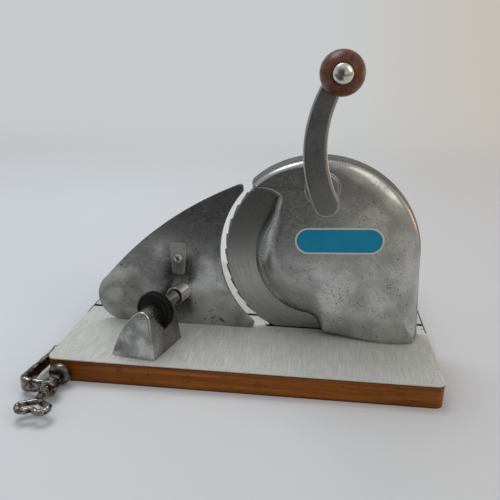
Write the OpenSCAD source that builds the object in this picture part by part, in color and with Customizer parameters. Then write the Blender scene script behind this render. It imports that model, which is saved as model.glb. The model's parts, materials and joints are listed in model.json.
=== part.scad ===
// Hand crank bread slicer on a laminated beech board.
// Frame: origin at the centre of the board's underside, +X right, +Y to the back, +Z up.
// Lengths are in millimetres. The blade's height in front of its own mid plane is called "out".

/* [Board] */
// Width of the board, left to right
board_w = 328; // [300:1:380]
// Depth of the board, front to back
board_d = 250; // [220:1:320]
// Thickness of the beech
beech_t = 19.5; // [16:0.5:28]
// Thickness of the laminate on top
laminate_t = 1; // [0.6:0.1:2]
// Corner radius of the board
corner_r = 7; // [3:0.5:15]
// Width of the guide groove for a bread pusher
groove_w = 4.8; // [4.6:0.1:6]
// Depth of the guide groove below the board's top
groove_depth = 10; // [6:0.5:12]
// Distance from the blade's mid plane back to the groove's centre line
groove_back = 20.5; // [16:0.5:30]

/* [Side strips] */
// Thickness of the steel strips let into the short sides
strip_t = 1.2; // [0.8:0.1:2]
// Height of the strips
strip_h = 15; // [13:0.5:16]
// How far the strips start in front of the groove
strip_lead = 17; // [12:1:30]
// How far the strips stop short of the rear edge
strip_stop = 20; // [10:1:40]

/* [Blade] */
// Radius of the blade at its tooth tips
blade_r = 85; // [80:0.5:90]
// Thickness of the blade
blade_t = 1.5; // [1:0.1:2]
// Number of stepped teeth
blade_teeth = 36; // [24:1:48]
// Depth of a tooth step
tooth_step = 1.5; // [0.5:0.1:2]
// How far the blade dips below the board's top
blade_dip = 11; // [6:0.5:13]
// Distance from the board's front edge back to the blade's mid plane
blade_back = 86.5; // [80:0.5:110]
// Width of the slot for the blade
slot_w = 4.6; // [3.5:0.1:6]
// Room round the blade's rim in the slot
slot_gap = 3; // [2:0.5:4]

/* [Gears] */
// Module of the gear pair
gear_m = 1.5; // [1.4:0.05:1.55]
// Teeth of the pinion on the crank shaft
pinion_teeth = 24; // [22:1:24]
// Teeth of the gear on the blade
gear_teeth = 64; // [60:1:64]
// Width of the gear's teeth
gear_w = 5; // [4:0.5:7]
// Room between the gear's tips and the wall of its case
gear_room = 3.2; // [1.5:0.1:4]
// Backlash at the pitch line
backlash = 0.2; // [0.1:0.05:0.4]

/* [Housing] */
// Height of the housing's face out from the blade's mid plane
face_out = 26.5; // [24:0.5:34]
// Wall of the cast housing
wall = 3; // [2.5:0.1:3.5]
// Room between the blade's tips and the rim's outside
rim_gap = 5; // [4.5:0.1:7]
// Distance from the board's right edge to the housing's side
side_margin = 14; // [8:1:30]
// Rounding of the rim's front edge
rim_round = 7; // [5:0.5:12]
// Rounding of the housing's right side
side_round = 13; // [8:0.5:16]
// How much wider than deep that rounding runs on the right
dome = 1.5; // [0.5:0.1:2]
// Radius of the boss round the crank shaft
boss_r = 14; // [13:0.5:15]
// Height of that boss above the face
boss_h = 4; // [2:0.5:6]
// Depth of the wedge shaped foot at its widest
foot_out = 21.5; // [18:0.5:24]
// Length of the wedge along the board
foot_run = 58; // [55:1:68]

/* [Badge] */
// Length of the blank badge
badge_l = 74.5; // [50:0.5:78]
// Height of the blank badge
badge_h = 23.2; // [14:0.2:26]
// Thickness of the badge
badge_t = 0.8; // [0.5:0.1:1.5]
// Place of the badge to the right of the blade axis
badge_x = 16.5; // [10:0.5:24]
// Place of the badge above the blade axis
badge_z = 22; // [16:0.5:26]
// Tilt of the badge in degrees
badge_tilt = 2.5; // [0:0.5:5]

/* [Crank] */
// Distance from the crank shaft to the knob
crank_throw = 92.4; // [80:0.1:110]
// Lean of the crank to the right at rest, in degrees
crank_lean = 5.4; // [0:0.1:30]
// Radius of the arm's curve
arm_curve_r = 99; // [80:1:200]
// Width of the arm at the shaft
arm_w = 20.6; // [18:0.2:24]
// Width of the arm at the knob
arm_tip_w = 15.4; // [13:0.2:18]
// Thickness of the arm
arm_t = 8; // [7:0.5:12]
// Length of the hub behind the arm
hub_l = 9; // [6:0.5:16]
// Radius of the crank shaft
shaft_r = 6; // [5:0.25:6.5]
// Radius of the wooden knob
knob_r = 16; // [13:0.5:20]
// Radius of the knob's rivet
rivet_r = 4; // [3:0.25:4.5]
// Radius of the rivet's domed cap
cap_r = 7; // [6:0.25:9]

/* [Fence] */
// Thickness of the fence plate
fence_t = 4; // [3:0.25:6]
// Slice thickness at rest
slice = 3; // [1:0.25:6]
// Gap between the blade's tips and the fence's hollow edge
fence_gap = 4.4; // [3:0.1:8]
// Gap between the fence and the board
fence_lift = 1; // [0.5:0.1:2]
// Reach of the fence's left end from the blade axis
fence_reach = 205; // [190:1:212]
// Radius of the fence's left end
fence_end_r = 24; // [18:0.5:30]
// Rise of the fence's top edge above its chord
fence_bulge = 9.2; // [0:0.5:12]
// Skew of the fence's travel about the vertical, in degrees
fence_skew = 16; // [10:1:20]
// Distance from the blade axis left to the fence's boss
fence_boss_x = 125; // [110:1:135]
// Height of the fence spindle above the board's top
spindle_h = 33.5; // [30:0.5:40]
// Radius of the fence spindle
spindle_r = 4.5; // [3.5:0.25:5]
// Radius of the fence's boss
fence_boss_r = 8.5; // [7.5:0.25:11]
// Length of the fence's boss
fence_boss_l = 13; // [8:0.5:14]

/* [Fence block] */
// Distance from the fence's face to the thumbwheel, along the spindle
wheel_front = 46; // [44:0.5:56]
// Radius of the thumbwheel
wheel_r = 17; // [14:0.5:20]
// Width of the thumbwheel
wheel_w = 7; // [5:0.5:10]
// Length of the block in front of the thumbwheel
block_front = 27; // [24:0.5:30]
// Length of the block behind the thumbwheel
block_rear = 20; // [16:0.5:20]
// Spread of the block's left flank at the board
block_left = 27; // [20:0.5:34]
// Spread of the block's right flank at the board
block_right = 13; // [11:0.5:20]
// Radius of the block's ridge
ridge_r = 7.5; // [6:0.25:9]
// Radius of the tube behind the block that the fence's boss slides over
tube_r = 6.2; // [5.5:0.1:6.4]

/* [Table clamp] */
// Radius of the clamp's hinge pin
hinge_r = 5; // [3.5:0.25:6]
// Depth of the hinge pin in the board
hinge_depth = 28; // [20:1:40]
// Distance of the hinge pin from the board's front edge
hinge_back = 29; // [22:0.5:40]
// Height of the hinge pin above the table
hinge_h = 10; // [9.6:0.1:12]
// Height of the clamp's bar
bar_h = 13; // [12:0.5:16]
// Thickness of the clamp's bar
bar_t = 6; // [5:0.25:8]
// Reach of the clamp's arm in front of the board
arm_front = 25; // [24:0.5:40]
// How far the clamp's screw lies inside the board's edge
screw_inset = 14; // [12:0.5:24]
// Radius of the clamp's screw
screw_r = 4; // [3.5:0.25:4.5]
// Radius of the clamp's swivel pad
pad_r = 9.4; // [7:0.2:9.6]
// Gap between the stowed pad and the board's front
pad_gap = 4; // [3:0.5:5]
// Radius of the handle's rod
rod_r = 2.6; // [2:0.1:3]
// Centre line radius of the handle's two lobes
lobe_r = 5.6; // [5:0.1:8]

/* [Fits] */
// Radial clearance of a shaft that turns or slides in its bore
run_gap = 0.06; // [0.02:0.01:0.1]
// Clearance of a fastener or a fixed piece in its seat
seat_gap = 0.05; // [0.02:0.01:0.1]
// Gap between faces of moving pieces
side_gap = 0.3; // [0.2:0.05:0.6]

/* [Hidden] */
$fn = 64;
eps = 0.01;

// Board levels and edges
board_top = beech_t + laminate_t;
front_y = -board_d / 2;
left_x = -board_w / 2;

// Blade axis, with the crank shaft straight above it; the rim clears the blade and the pinion
centres = gear_m * (pinion_teeth + gear_teeth) / 2;
pinion_tip = gear_m * (pinion_teeth / 2 + 1);
pinion_room = 1.4;
rim_r = max(blade_r + rim_gap, centres + pinion_tip + pinion_room + wall);
blade_x = board_w / 2 - side_margin - rim_r;
blade_y = front_y + blade_back;
blade_z = board_top + blade_r - blade_dip;
blade_front = blade_t / 2;
crank_z = blade_z + centres;

// Heights out from the blade's mid plane, from the blade to the knob
edge_out = blade_front + 0.7;
gear_out = blade_front + 1.9;
gear_front = gear_out + gear_w;
rim_back = -2;
inner_face = face_out - wall;
bush_front = face_out + boss_h + 2;
washer_t = 1;
hub_out = bush_front + washer_t + side_gap;
arm_out = hub_out + hub_l;
arm_face = arm_out + arm_t;
knob_washer_t = 2;
knob_flat = knob_r - 1;
knob_out = arm_face + knob_washer_t + side_gap + knob_flat;
cap_seat = sqrt(knob_r * knob_r - (cap_r + 0.8) * (cap_r + 0.8));

// Crank shaft and bush
bush_r = 10;
bush_flange_t = 4;
bush_hole_r = bush_r / cos(10) + seat_gap;
bush_back = inner_face - bush_flange_t;
pin_r = 1.5;

// Blade hub
axle_r = 6;
axle_flange_r = 14;
axle_flange_t = 5;
hub_r = 11;
hub_flange_r = 30;
gear_screw_ring = 22;
gear_screw_r = 2;
gear_head_r = 3.3;

// Groove and strips
groove_y = blade_y + groove_back;
strip_front = groove_y - strip_lead;
strip_back = board_d / 2 - strip_stop;
strip_screw_r = 1.6;

// Fence: the plate's front face and the spindle's axis
fence_face_y = blade_y - blade_front - slice - fence_t;
fence_z = board_top + spindle_h;
boss_x = blade_x - fence_boss_x;
wheel_x = boss_x - wheel_front * sin(fence_skew);
wheel_y = fence_face_y - wheel_front * cos(fence_skew);
wheel_slot = wheel_w + 2 * side_gap;
wheel_room = 1;
nut_r = spindle_r + 3;
travel_back = 12;
spindle_tip = -wheel_slot / 2 - 3.5;
spindle_end = wheel_front + fence_t / 2;
tube_room = 0.5;

// Clamp: hinge, screw and pad
hinge_y = front_y + hinge_back;
clamp_x = left_x + screw_inset;
arm_y = front_y - arm_front;
bar_gap = 2;
pad_face_y = front_y - pad_gap;
pad_t = 7;
clamp_boss_r = 7;
clamp_boss_l = 10;
tip_r = 3;
tip_l = 4;
neck_l = 13;
neck_y = arm_y - clamp_boss_l / 2 - neck_l;
ferrule_r = hinge_r + 2;

// Points on an arc, as [x, y] pairs
function arc(c, r, a0, a1, n) = [for (i = [0:n]) let (a = a0 + (a1 - a0) * i / n) c + r * [cos(a), sin(a)]];

// Points of a shallow arc from p to q that bulges to the left of its direction
function bow(p, q, rise, n) =
    let (d = q - p, side = [-d[1], d[0]] / norm(d))
    [for (i = [0:n]) let (t = i / n) p + t * d + 4 * rise * t * (1 - t) * side];

function lerp(a, b, t) = a + (b - a) * t;
function ramp(x, x0, x1) = min(1, max(0, (x - x0) / (x1 - x0)));

// Local frames: x right, y up, z out to the front
module at_blade() translate([blade_x, blade_y, blade_z]) rotate([90, 0, 0]) children();
module at_shaft() translate([blade_x, blade_y, crank_z]) rotate([90, 0, 0]) children();
module at_crank() at_shaft() rotate(-crank_lean) children();
module at_knob() at_crank() translate([0, crank_throw, 0]) children();

// Local frame of the fence's travel: y along the spindle, x to its right, z up, origin at the wheel
module at_spindle() translate([wheel_x, wheel_y, fence_z]) rotate(-fence_skew) children();

// A cylinder along +Y from y0 to y1
module along_y(r, y0, y1) translate([0, y0, 0]) rotate([-90, 0, 0]) cylinder(r = r, h = y1 - y0);

// A flat slab with round corners, centred on the origin
module slab(w, d, r, t) {
    translate([-w / 2 + r, -d / 2, 0]) cube([w - 2 * r, d, t]);
    translate([-w / 2, -d / 2 + r, 0]) cube([w, d - 2 * r, t]);
    for (x = [-1, 1], y = [-1, 1])
        translate([x * (w / 2 - r), y * (d / 2 - r), 0]) cylinder(r = r, h = t);
}

// A countersunk screw that points along +Z, with its head's face at z = 0
module screw(r, l, head_r) {
    cylinder(r = r, h = l);
    cylinder(r1 = head_r, r2 = r, h = head_r - r);
}

// The hole for such a screw
module screw_hole(r, l, head_r) {
    translate([0, 0, -eps]) cylinder(r = r + seat_gap, h = l + eps);
    translate([0, 0, -eps]) cylinder(r1 = head_r + seat_gap + eps, r2 = r + seat_gap, h = head_r - r + eps);
}

// What the blade and the pusher cut out of the board's top
module board_cuts() {
    at_blade() translate([0, 0, -slot_w / 2]) cylinder(r = blade_r + slot_gap, h = slot_w, $fn = 96);
    translate([left_x - eps, groove_y - groove_w / 2, board_top - groove_depth])
        cube([board_w + 2 * eps, groove_w, groove_depth + eps]);
    for (side = [0, 1])
        translate([side ? board_w / 2 - strip_t : left_x - eps, strip_front, board_top - strip_h])
            cube([strip_t + eps, strip_back - strip_front, strip_h + eps]);
}

// Places of the screws: strips, housing foot and fence block
strip_screw_y = [for (t = [0, 0.5, 1]) lerp(strip_front + 8, strip_back - 12, t)];
strip_screw_z = board_top - strip_h + 4;
strip_screw_l = 16;
strip_head_r = 2.6;
module at_strip_screws()
    for (side = [-1, 1], y = strip_screw_y)
        translate([side * board_w / 2, y, strip_screw_z]) rotate([0, -90 * side, 0]) children();

foot_screw_r = 2;
foot_head_r = 4;
foot_screw_l = board_top + wall - 0.6;
module at_foot_screws()
    for (t = [0.57, 1.06])
        translate([foot_x0 + t * foot_run, blade_y - 0.42 * foot_out * (t + 0.3), 0]) children();

block_screw_r = 2.5;
block_head_r = 4.5;
block_screw_up = 12;
block_screw_l = board_top + block_screw_up;
block_screw_left = 7;
front_screw_in = 12;
rear_screw_in = 6;
module at_block_screws()
    for (y = [-block_front + front_screw_in, block_rear - rear_screw_in])
        translate([wheel_x, wheel_y, 0]) rotate(-fence_skew) translate([-block_screw_left, y, 0]) children();

module base_board() color("peru")
    difference() {
        slab(board_w, board_d, corner_r, beech_t);
        board_cuts();
        at_strip_screws() cylinder(r = strip_screw_r + seat_gap, h = strip_screw_l + 1);
        at_foot_screws() screw_hole(foot_screw_r, foot_screw_l, foot_head_r);
        at_block_screws() screw_hole(block_screw_r, block_screw_l, block_head_r);
        translate([left_x - eps, hinge_y, hinge_h]) rotate([0, 90, 0])
            cylinder(r = ferrule_r + seat_gap, h = hinge_depth + 1 + 2 * eps);
    }

module laminate_top() color("lightgray")
    difference() {
        translate([0, 0, beech_t]) slab(board_w, board_d, corner_r, laminate_t);
        board_cuts();
        at_foot_screws() cylinder(r = foot_screw_r + seat_gap, h = foot_screw_l);
        at_block_screws() cylinder(r = block_screw_r + seat_gap, h = block_screw_l);
    }

module side_strips() color("dimgray")
    difference() {
        for (side = [0, 1])
            translate([side ? board_w / 2 - strip_t : left_x, strip_front, board_top - strip_h])
                cube([strip_t, strip_back - strip_front, strip_h]);
        at_strip_screws() screw_hole(strip_screw_r, strip_screw_l, strip_head_r);
    }

module strip_screws() color("gray")
    at_strip_screws() screw(strip_screw_r, strip_screw_l, strip_head_r);

// Housing: a cast shell drawn on rays from the crank shaft to its outline.
// Each outline point is [rim, edge, back, height, blend, slope] about the blade axis: the wall runs from
// the rim at "back" to the edge at "height", and then rounds over to the face within the blend's width.
case_r = gear_m * (gear_teeth / 2 + 1) + gear_room + wall;
floor_z = board_top - blade_z;
foot_x0 = blade_x + 8;
nose_a = 131.5;
nose = rim_r * [cos(nose_a), sin(nose_a)];
rim_edge = face_out - rim_round;
side_edge = face_out - side_round;
rim_draft = 0.5;
side_draft = 3.4;
nose_drop = 8;
nose_flare = 9;
foot_blend = 30;
case_blend = 30;
case_step = 4.5;
side_flare = 3.6;
lip_rise = [0.9, 2.9];
lip_out = 16.5;
lip_round = 9;

function rim_points(n) = [for (i = [0:n])
    let (a = nose_a * (1 - i / n), d = [cos(a), sin(a)],
        t = ramp(a, 75, 5), tip = ramp(a, nose_a - 10, nose_a))
    [rim_r * d, (rim_r - lerp(rim_draft, side_draft, t)) * d, lerp(rim_back, edge_out, tip),
     lerp(rim_edge, side_edge, t) - nose_drop * tip,
     lerp(rim_round, side_round, t) * (1 + dome * ramp(a, 105, 60)), 0]];

function side_points(n) = [for (i = [1:n - 1])
    let (t = i / n, p = [rim_r + side_flare * pow(t, 4), t * floor_z])
    [p, p - [side_draft, 0], rim_back, side_edge, side_round * (1 + dome * (1 - 0.7 * t)), 0]];

// The foot's front edge swings out from the blade plane, then turns round the right side
function foot_edge(x) = let (turn = ramp(x, foot_run, rim_r - 4.5))
    edge_out + 1.5 + (foot_out - edge_out - 1.5) * pow(sin(90 * ramp(x, 0, foot_run)), 1.4)
    - (foot_out - side_edge + 2) * (1 - sqrt(1 - turn * turn));

function foot_points(n) = let (x0 = foot_x0 - blade_x, x1 = rim_r + side_flare)
    [for (i = [0:n])
        let (x = lerp(x1, x0, i / n), p = [x, floor_z], draft = side_draft * ramp(x, rim_r - 20, x1))
        [p, p - [draft, 0], lerp(edge_out, rim_back, ramp(x, blade_r - 30, blade_r)),
         foot_edge(x - x0), lerp(foot_blend, side_round + 6, ramp(x, x0, rim_r)), 0]];

// The gear case follows the blade's axis and flares out at the foot and below the nose
function case_points(n) = let (a0 = 276, a1 = 127)
    [for (i = [1:n - 1]) let (a = lerp(a0, a1, i / n),
        low = pow(ramp(a, 252, a0), 5), high = pow(ramp(a, 158, a1), 3),
        r = case_r + low * (norm([foot_x0 - blade_x, floor_z]) - case_r) + high * nose_flare,
        p = r * [cos(a), sin(a)], slope = ramp(a, a1, 150) * ramp(a, a0, 255))
        [p, p, edge_out, edge_out + 2 + case_step * slope + nose_drop * high,
         lerp(case_blend, rim_round, ramp(a, 150, a1)), slope]];

notch = [[22, -12], [21, -10], [18.5, -8.2], [15, -6.8], [11, -5.8], [7, -5.2], [3.5, -4.4], [1, -2.6]];
function notch_points() = [for (i = [0:len(notch) - 1])
    let (p = nose + notch[i], t = i / (len(notch) - 1), full = min(1, 4 * t) * (1 - pow(ramp(t, 0.5, 1), 2)))
    [p, p + full * lip_rise, edge_out, lerp(10.5, lip_out, full), lerp(6.5, lip_round, full), 0]];

outline = concat(rim_points(36), side_points(7), foot_points(16), case_points(34), notch_points());
shell_n = len(outline);
shaft_at = [0, centres];
function spot(k) = outline[(k + shell_n) % shell_n][0];

// The inward direction of the wall at an outline point
function inwards(k) = let (d = spot(k + 1) - spot(k - 1)) [d[1], -d[0]] / norm(d);

// Rounding of the shell: 0 at the wall, 1 where the blend reaches the face. It is a quarter round, or
// where slope is 1 a straight slope that eases into the face.
straight = 0.5;
function quarter(s) = sqrt(1 - (1 - s) * (1 - s));
function eased(s) = let (k = 2 / (1 + straight))
    s < straight ? k * s : 1 - k * (1 - s) * (1 - s) / (2 - 2 * straight);
function rise(s, slope) = lerp(quarter(s), eased(s), slope);

// A point on the way from an edge to the shaft, and a plan point lifted to its height
function on_ray(end, away) = let (d = end - shaft_at) shaft_at + d * (1 - away / norm(d));
function lift(p, out) = [p[0], p[1], out];

// One closed loop of points: boss, face, blend, wall, rear rim and back along the inside
blend_steps = [1, 0.72, 0.48, 0.28, 0.14, 0.05];
boss_round = 1.2;
function shell_ray(k) =
    let (o = outline[k], rim = o[0], edge = o[1],
        rim_in = rim + wall * inwards(k), edge_at = edge + wall * inwards(k),
        d = (edge - shaft_at) / norm(edge - shaft_at), d_in = (edge_at - shaft_at) / norm(edge_at - shaft_at),
        w = min(o[4], 0.92 * (norm(edge - shaft_at) - boss_r - boss_round)),
        w_in = min(o[4], 0.92 * (norm(edge_at - shaft_at) - boss_r - boss_round)),
        edge_in = max(o[2] + 0.5, o[3] - wall / 2))
    concat(
        [lift(shaft_at + bush_hole_r * d, face_out + boss_h)],
        [lift(shaft_at + (boss_r - boss_round) * d, face_out + boss_h)],
        [lift(shaft_at + boss_r * d, face_out + boss_h - boss_round)],
        [lift(shaft_at + boss_r * d, face_out + boss_round)],
        [lift(shaft_at + (boss_r + boss_round) * d, face_out)],
        [for (s = blend_steps) lift(on_ray(edge, s * w), lerp(o[3], face_out, rise(s, o[5])))],
        [lift(edge, o[3]), lift(rim, o[2]), lift(rim_in, o[2]), lift(edge_at, edge_in)],
        [for (i = [len(blend_steps) - 1:-1:0]) let (s = blend_steps[i])
            lift(on_ray(edge_at, s * w_in), lerp(edge_in, inner_face, rise(s, o[5])))],
        [lift(shaft_at + (bush_hole_r + boss_round) * d_in, inner_face)],
        [lift(shaft_at + bush_hole_r * d, inner_face)]);

module housing() color("darkgray")
    at_blade() {
        rays = [for (k = [0:shell_n - 1]) shell_ray(k)];
        m = len(rays[0]);
        points = [for (r = rays) for (p = r) p];
        faces = [for (k = [0:shell_n - 1], j = [0:m - 1])
            let (k2 = (k + 1) % shell_n, j2 = (j + 1) % m,
                a = k * m + j, b = k * m + j2, c = k2 * m + j2, d = k2 * m + j)
            each [[a, c, b], [a, d, c]]];
        polyhedron(points, faces, convexity = 8);
    }

module housing_screws() color("gray")
    at_foot_screws() screw(foot_screw_r, foot_screw_l, foot_head_r);

module badge() color("deepskyblue")
    at_blade() translate([badge_x, badge_z, face_out]) rotate(badge_tilt) {
        translate([-(badge_l - badge_h) / 2, -badge_h / 2, 0]) cube([badge_l - badge_h, badge_h, badge_t]);
        for (side = [-1, 1])
            translate([side * (badge_l - badge_h) / 2, 0, 0]) cylinder(r = badge_h / 2, h = badge_t);
    }

module crank_bush() color("darkgoldenrod")
    at_shaft() difference() {
        union() {
            translate([0, 0, bush_back]) cylinder(r = bush_r, h = bush_front - bush_back);
            translate([0, 0, bush_back]) cylinder(r = boss_r, h = bush_flange_t);
        }
        translate([0, 0, bush_back - 1]) cylinder(r = shaft_r + run_gap, h = bush_front - bush_back + 2);
    }

// The axle is cast into the housing's wall and carries the blade from inside
axle_end = -blade_front - side_gap;
axle_washer_t = 1;
axle_screw_r = 2.5;
axle_screw_l = 12;
module blade_axle() color("silver")
    at_blade() difference() {
        union() {
            translate([0, 0, axle_end]) cylinder(r = axle_r, h = inner_face + wall / 2 - axle_end);
            translate([0, 0, inner_face - axle_flange_t]) cylinder(r = axle_flange_r, h = axle_flange_t);
        }
        translate([0, 0, axle_end - eps]) cylinder(r = axle_screw_r + seat_gap, h = axle_screw_l);
    }

module axle_washer() color("silver")
    at_blade() translate([0, 0, axle_end - axle_washer_t]) difference() {
        cylinder(r = hub_r + 2, h = axle_washer_t);
        translate([0, 0, -1]) cylinder(r = axle_screw_r + seat_gap, h = axle_washer_t + 2);
    }

module axle_screw() color("gray")
    at_blade() translate([0, 0, axle_end - axle_washer_t]) difference() {
        union() {
            cylinder(r = axle_screw_r, h = axle_screw_l);
            translate([0, 0, -2]) cylinder(r1 = 5.5, r2 = 7, h = 2);
        }
        translate([-8, -0.7, -2 - eps]) cube([16, 1.4, 1.2]);
    }

// Fence block: an arch shaped casting with a steep right flank and a spread left flank
block_h = fence_z - board_top;
flank_a = 125;
flank_top = ridge_r * [cos(flank_a), sin(flank_a)];
flank_bulge = 16;
flank_bend = flank_top + flank_bulge * [-sin(flank_a), cos(flank_a)];
flank_foot = [-block_left, -block_h];
left_flank = [for (i = [1:10]) let (t = i / 10)
    (1 - t) * (1 - t) * flank_top + 2 * t * (1 - t) * flank_bend + t * t * flank_foot];

module block_profile()
    polygon(concat(arc([0, 0], ridge_r, 0, flank_a, 20), left_flank, [[block_right, -block_h]]));

// The block's ends lean back and are turned a little against the spindle
block_turn = 6;
front_lean = 5;
rear_lean = 1;
tube_end = wheel_front - fence_boss_l - side_gap;
module block_body() {
    spare = 5;
    top = ridge_r + 1;
    intersection() {
        translate([0, block_rear + spare, 0]) rotate([90, 0, 0])
            linear_extrude(block_front + block_rear + 2 * spare) block_profile();
        multmatrix([[1, 0, 0, 0], [tan(block_turn), 1, 0, 0], [0, 0, 1, 0], [0, 0, 0, 1]])
            rotate([90, 0, 90]) translate([0, 0, -block_left - 1])
                linear_extrude(block_left + block_right + 2)
                    polygon([[-block_front, -block_h], [block_rear, -block_h],
                        [block_rear - rear_lean, top], [-block_front + front_lean, top]]);
    }
    along_y(tube_r, 0, tube_end);
}

module fence_block() color("darkgray")
    difference() {
        at_spindle() block_body();
        at_spindle() along_y(spindle_r + run_gap, spindle_tip - travel_back - 1, tube_end + 1);
        at_spindle() along_y(wheel_r + wheel_room, -wheel_slot / 2, wheel_slot / 2);
        at_block_screws() cylinder(r = block_screw_r + seat_gap, h = block_screw_l + 1);
    }

module block_screws() color("gray")
    at_block_screws() screw(block_screw_r, block_screw_l, block_head_r);

module clamp_ferrule() color("dimgray")
    translate([left_x, hinge_y, hinge_h]) rotate([0, 90, 0]) difference() {
        cylinder(r = ferrule_r, h = hinge_depth + 1);
        translate([0, 0, -1]) cylinder(r = hinge_r + run_gap, h = hinge_depth + 1.5);
    }

// Crank arm: a curved bar that narrows towards the knob
arm_half = asin(crank_throw / 2 / arm_curve_r);
arm_centre = [arm_curve_r * cos(arm_half), crank_throw / 2];
function arm_line(t, side) = let (a = 180 + arm_half - 2 * arm_half * t,
    r = arm_curve_r + side * lerp(arm_w, arm_tip_w, t) / 2) arm_centre + r * [cos(a), sin(a)];

module arm_profile() {
    n = 20;
    past = 0.09;
    low_a = arm_half * (1 + 2 * past);
    low = (arm_line(-past, 1) + arm_line(-past, -1)) / 2;
    high = (arm_line(1, 1) + arm_line(1, -1)) / 2;
    polygon(concat(
        [for (i = [0:n]) arm_line(lerp(-past, 1, i / n), 1)],
        arc(high, arm_tip_w / 2, 180 - arm_half, -arm_half, 12),
        [for (i = [0:n]) arm_line(lerp(1, -past, i / n), -1)],
        arc(low, norm(arm_line(-past, 1) - low), low_a, low_a - 180, 14)));
}

module crank_arm() color("darkgray")
    at_crank() difference() {
        union() {
            translate([0, 0, arm_out]) linear_extrude(arm_t) arm_profile();
            translate([0, 0, hub_out]) cylinder(r = arm_w / 2 - 1, h = hub_l + 1);
        }
        translate([0, 0, hub_out - eps]) cylinder(r = shaft_r + seat_gap, h = hub_l + arm_t / 2);
        translate([0, crank_throw, arm_out - 1]) cylinder(r = rivet_r + seat_gap, h = arm_t + 2);
        translate([-arm_w, 0, hub_out + hub_l / 2]) rotate([0, 90, 0])
            cylinder(r = pin_r + seat_gap, h = 2 * arm_w);
    }

module crank_shaft() color("silver")
    at_crank() difference() {
        translate([0, 0, edge_out]) cylinder(r = shaft_r, h = hub_out + hub_l + arm_t / 2 - edge_out - eps);
        translate([-arm_w, 0, hub_out + hub_l / 2]) rotate([0, 90, 0])
            cylinder(r = pin_r + seat_gap, h = 2 * arm_w);
    }

module crank_pin() color("gray")
    at_crank() translate([-arm_w / 2 + 1, 0, hub_out + hub_l / 2]) rotate([0, 90, 0])
        cylinder(r = pin_r, h = arm_w - 2);

module crank_washer() color("silver")
    at_crank() translate([0, 0, bush_front + side_gap]) difference() {
        cylinder(r = arm_w / 2 - 0.3, h = washer_t);
        translate([0, 0, -1]) cylinder(r = shaft_r + seat_gap, h = washer_t + 2);
    }

// Involute gear outline with a tooth on the +X axis
pressure = 20;
function inv(a) = tan(a) - a * PI / 180;
function tooth_half(r, base, pitch, teeth) = let (a = r <= base ? 0 : acos(base / r))
    90 / teeth + (inv(pressure) - inv(a) - backlash / 4 / pitch) * 180 / PI;
function gear_outline(teeth) =
    let (pitch = gear_m * teeth / 2, base = pitch * cos(pressure), root = pitch - 1.25 * gear_m,
        tip = pitch + gear_m, low = max(root + 0.1, base),
        flank = [root, low, lerp(low, tip, 0.3), lerp(low, tip, 0.65), tip])
    [for (i = [0:teeth - 1]) each concat(
        [for (r = flank) let (a = 360 * i / teeth - tooth_half(r, base, pitch, teeth)) r * [cos(a), sin(a)]],
        [for (j = [4:-1:0]) let (r = flank[j], a = 360 * i / teeth + tooth_half(r, base, pitch, teeth))
            r * [cos(a), sin(a)]])];

module crank_pinion() color("silver")
    at_shaft() translate([0, 0, gear_out]) difference() {
        rotate(270 + 180 / pinion_teeth) linear_extrude(gear_w) polygon(gear_outline(pinion_teeth));
        translate([0, 0, -1]) cylinder(r = shaft_r + seat_gap, h = gear_w + 2);
    }

module knob_rivet() color("gainsboro")
    at_knob() {
        translate([0, 0, arm_out - 1.5]) cylinder(r = rivet_r + 1.5, h = 1.5);
        translate([0, 0, arm_out - 1]) cylinder(r = rivet_r, h = knob_out + cap_seat + 1 - arm_out + 1);
        translate([0, 0, knob_out + cap_seat + side_gap]) rotate_extrude()
            intersection() {
                translate([0, -cap_r * 0.55]) circle(r = cap_r * 1.14);
                square([cap_r, cap_r]);
            }
    }

module knob_washer() color("silver")
    at_knob() translate([0, 0, arm_face]) difference() {
        cylinder(r = rivet_r + 3, h = knob_washer_t);
        translate([0, 0, -1]) cylinder(r = rivet_r + seat_gap, h = knob_washer_t + 2);
    }

module knob() color("sienna")
    at_knob() translate([0, 0, knob_out]) difference() {
        sphere(r = knob_r, $fn = 96);
        translate([0, 0, -2 * knob_r]) cylinder(r = rivet_r + run_gap, h = 4 * knob_r);
        translate([0, 0, cap_seat]) cylinder(r = knob_r, h = knob_r);
        translate([0, 0, -knob_flat - knob_r]) cylinder(r = knob_r, h = knob_r);
    }

// Blade: the rim rises at each step and falls back to the next
function blade_rim() = [for (i = [0:blade_teeth - 1], j = [0:3])
    let (t = j / 3, a = 360 * (i + t * 0.96) / blade_teeth) (blade_r - tooth_step * t) * [cos(a), sin(a)]];

module blade() color("silver")
    at_blade() translate([0, 0, -blade_front]) difference() {
        linear_extrude(blade_t) polygon(blade_rim());
        translate([0, 0, -1]) cylinder(r = hub_r + seat_gap, h = blade_t + 2);
        at_gear_screws() screw_hole(gear_screw_r, blade_t + 2, gear_head_r);
    }

module at_gear_screws() for (i = [0:2]) rotate(120 * i + 30) translate([gear_screw_ring, 0, 0]) children();

module blade_gear() color("gray")
    at_blade() difference() {
        union() {
            translate([0, 0, gear_out]) rotate(90) linear_extrude(gear_w) polygon(gear_outline(gear_teeth));
            translate([0, 0, blade_front]) cylinder(r = hub_flange_r, h = gear_out - blade_front + eps);
        }
        translate([0, 0, blade_front - 1]) cylinder(r = hub_r + seat_gap, h = gear_front + 2);
        at_gear_screws() cylinder(r = gear_screw_r + seat_gap, h = gear_front + 1);
    }

hub_front = inner_face - axle_flange_t - side_gap;
module blade_hub() color("darkgoldenrod")
    at_blade() difference() {
        union() {
            translate([0, 0, -blade_front]) cylinder(r = hub_r, h = hub_front + blade_front);
            translate([0, 0, gear_front]) cylinder(r = hub_r + 3, h = hub_front - gear_front);
        }
        translate([0, 0, -2 * blade_t]) cylinder(r = axle_r + run_gap, h = face_out + 2 * blade_t);
    }

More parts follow.
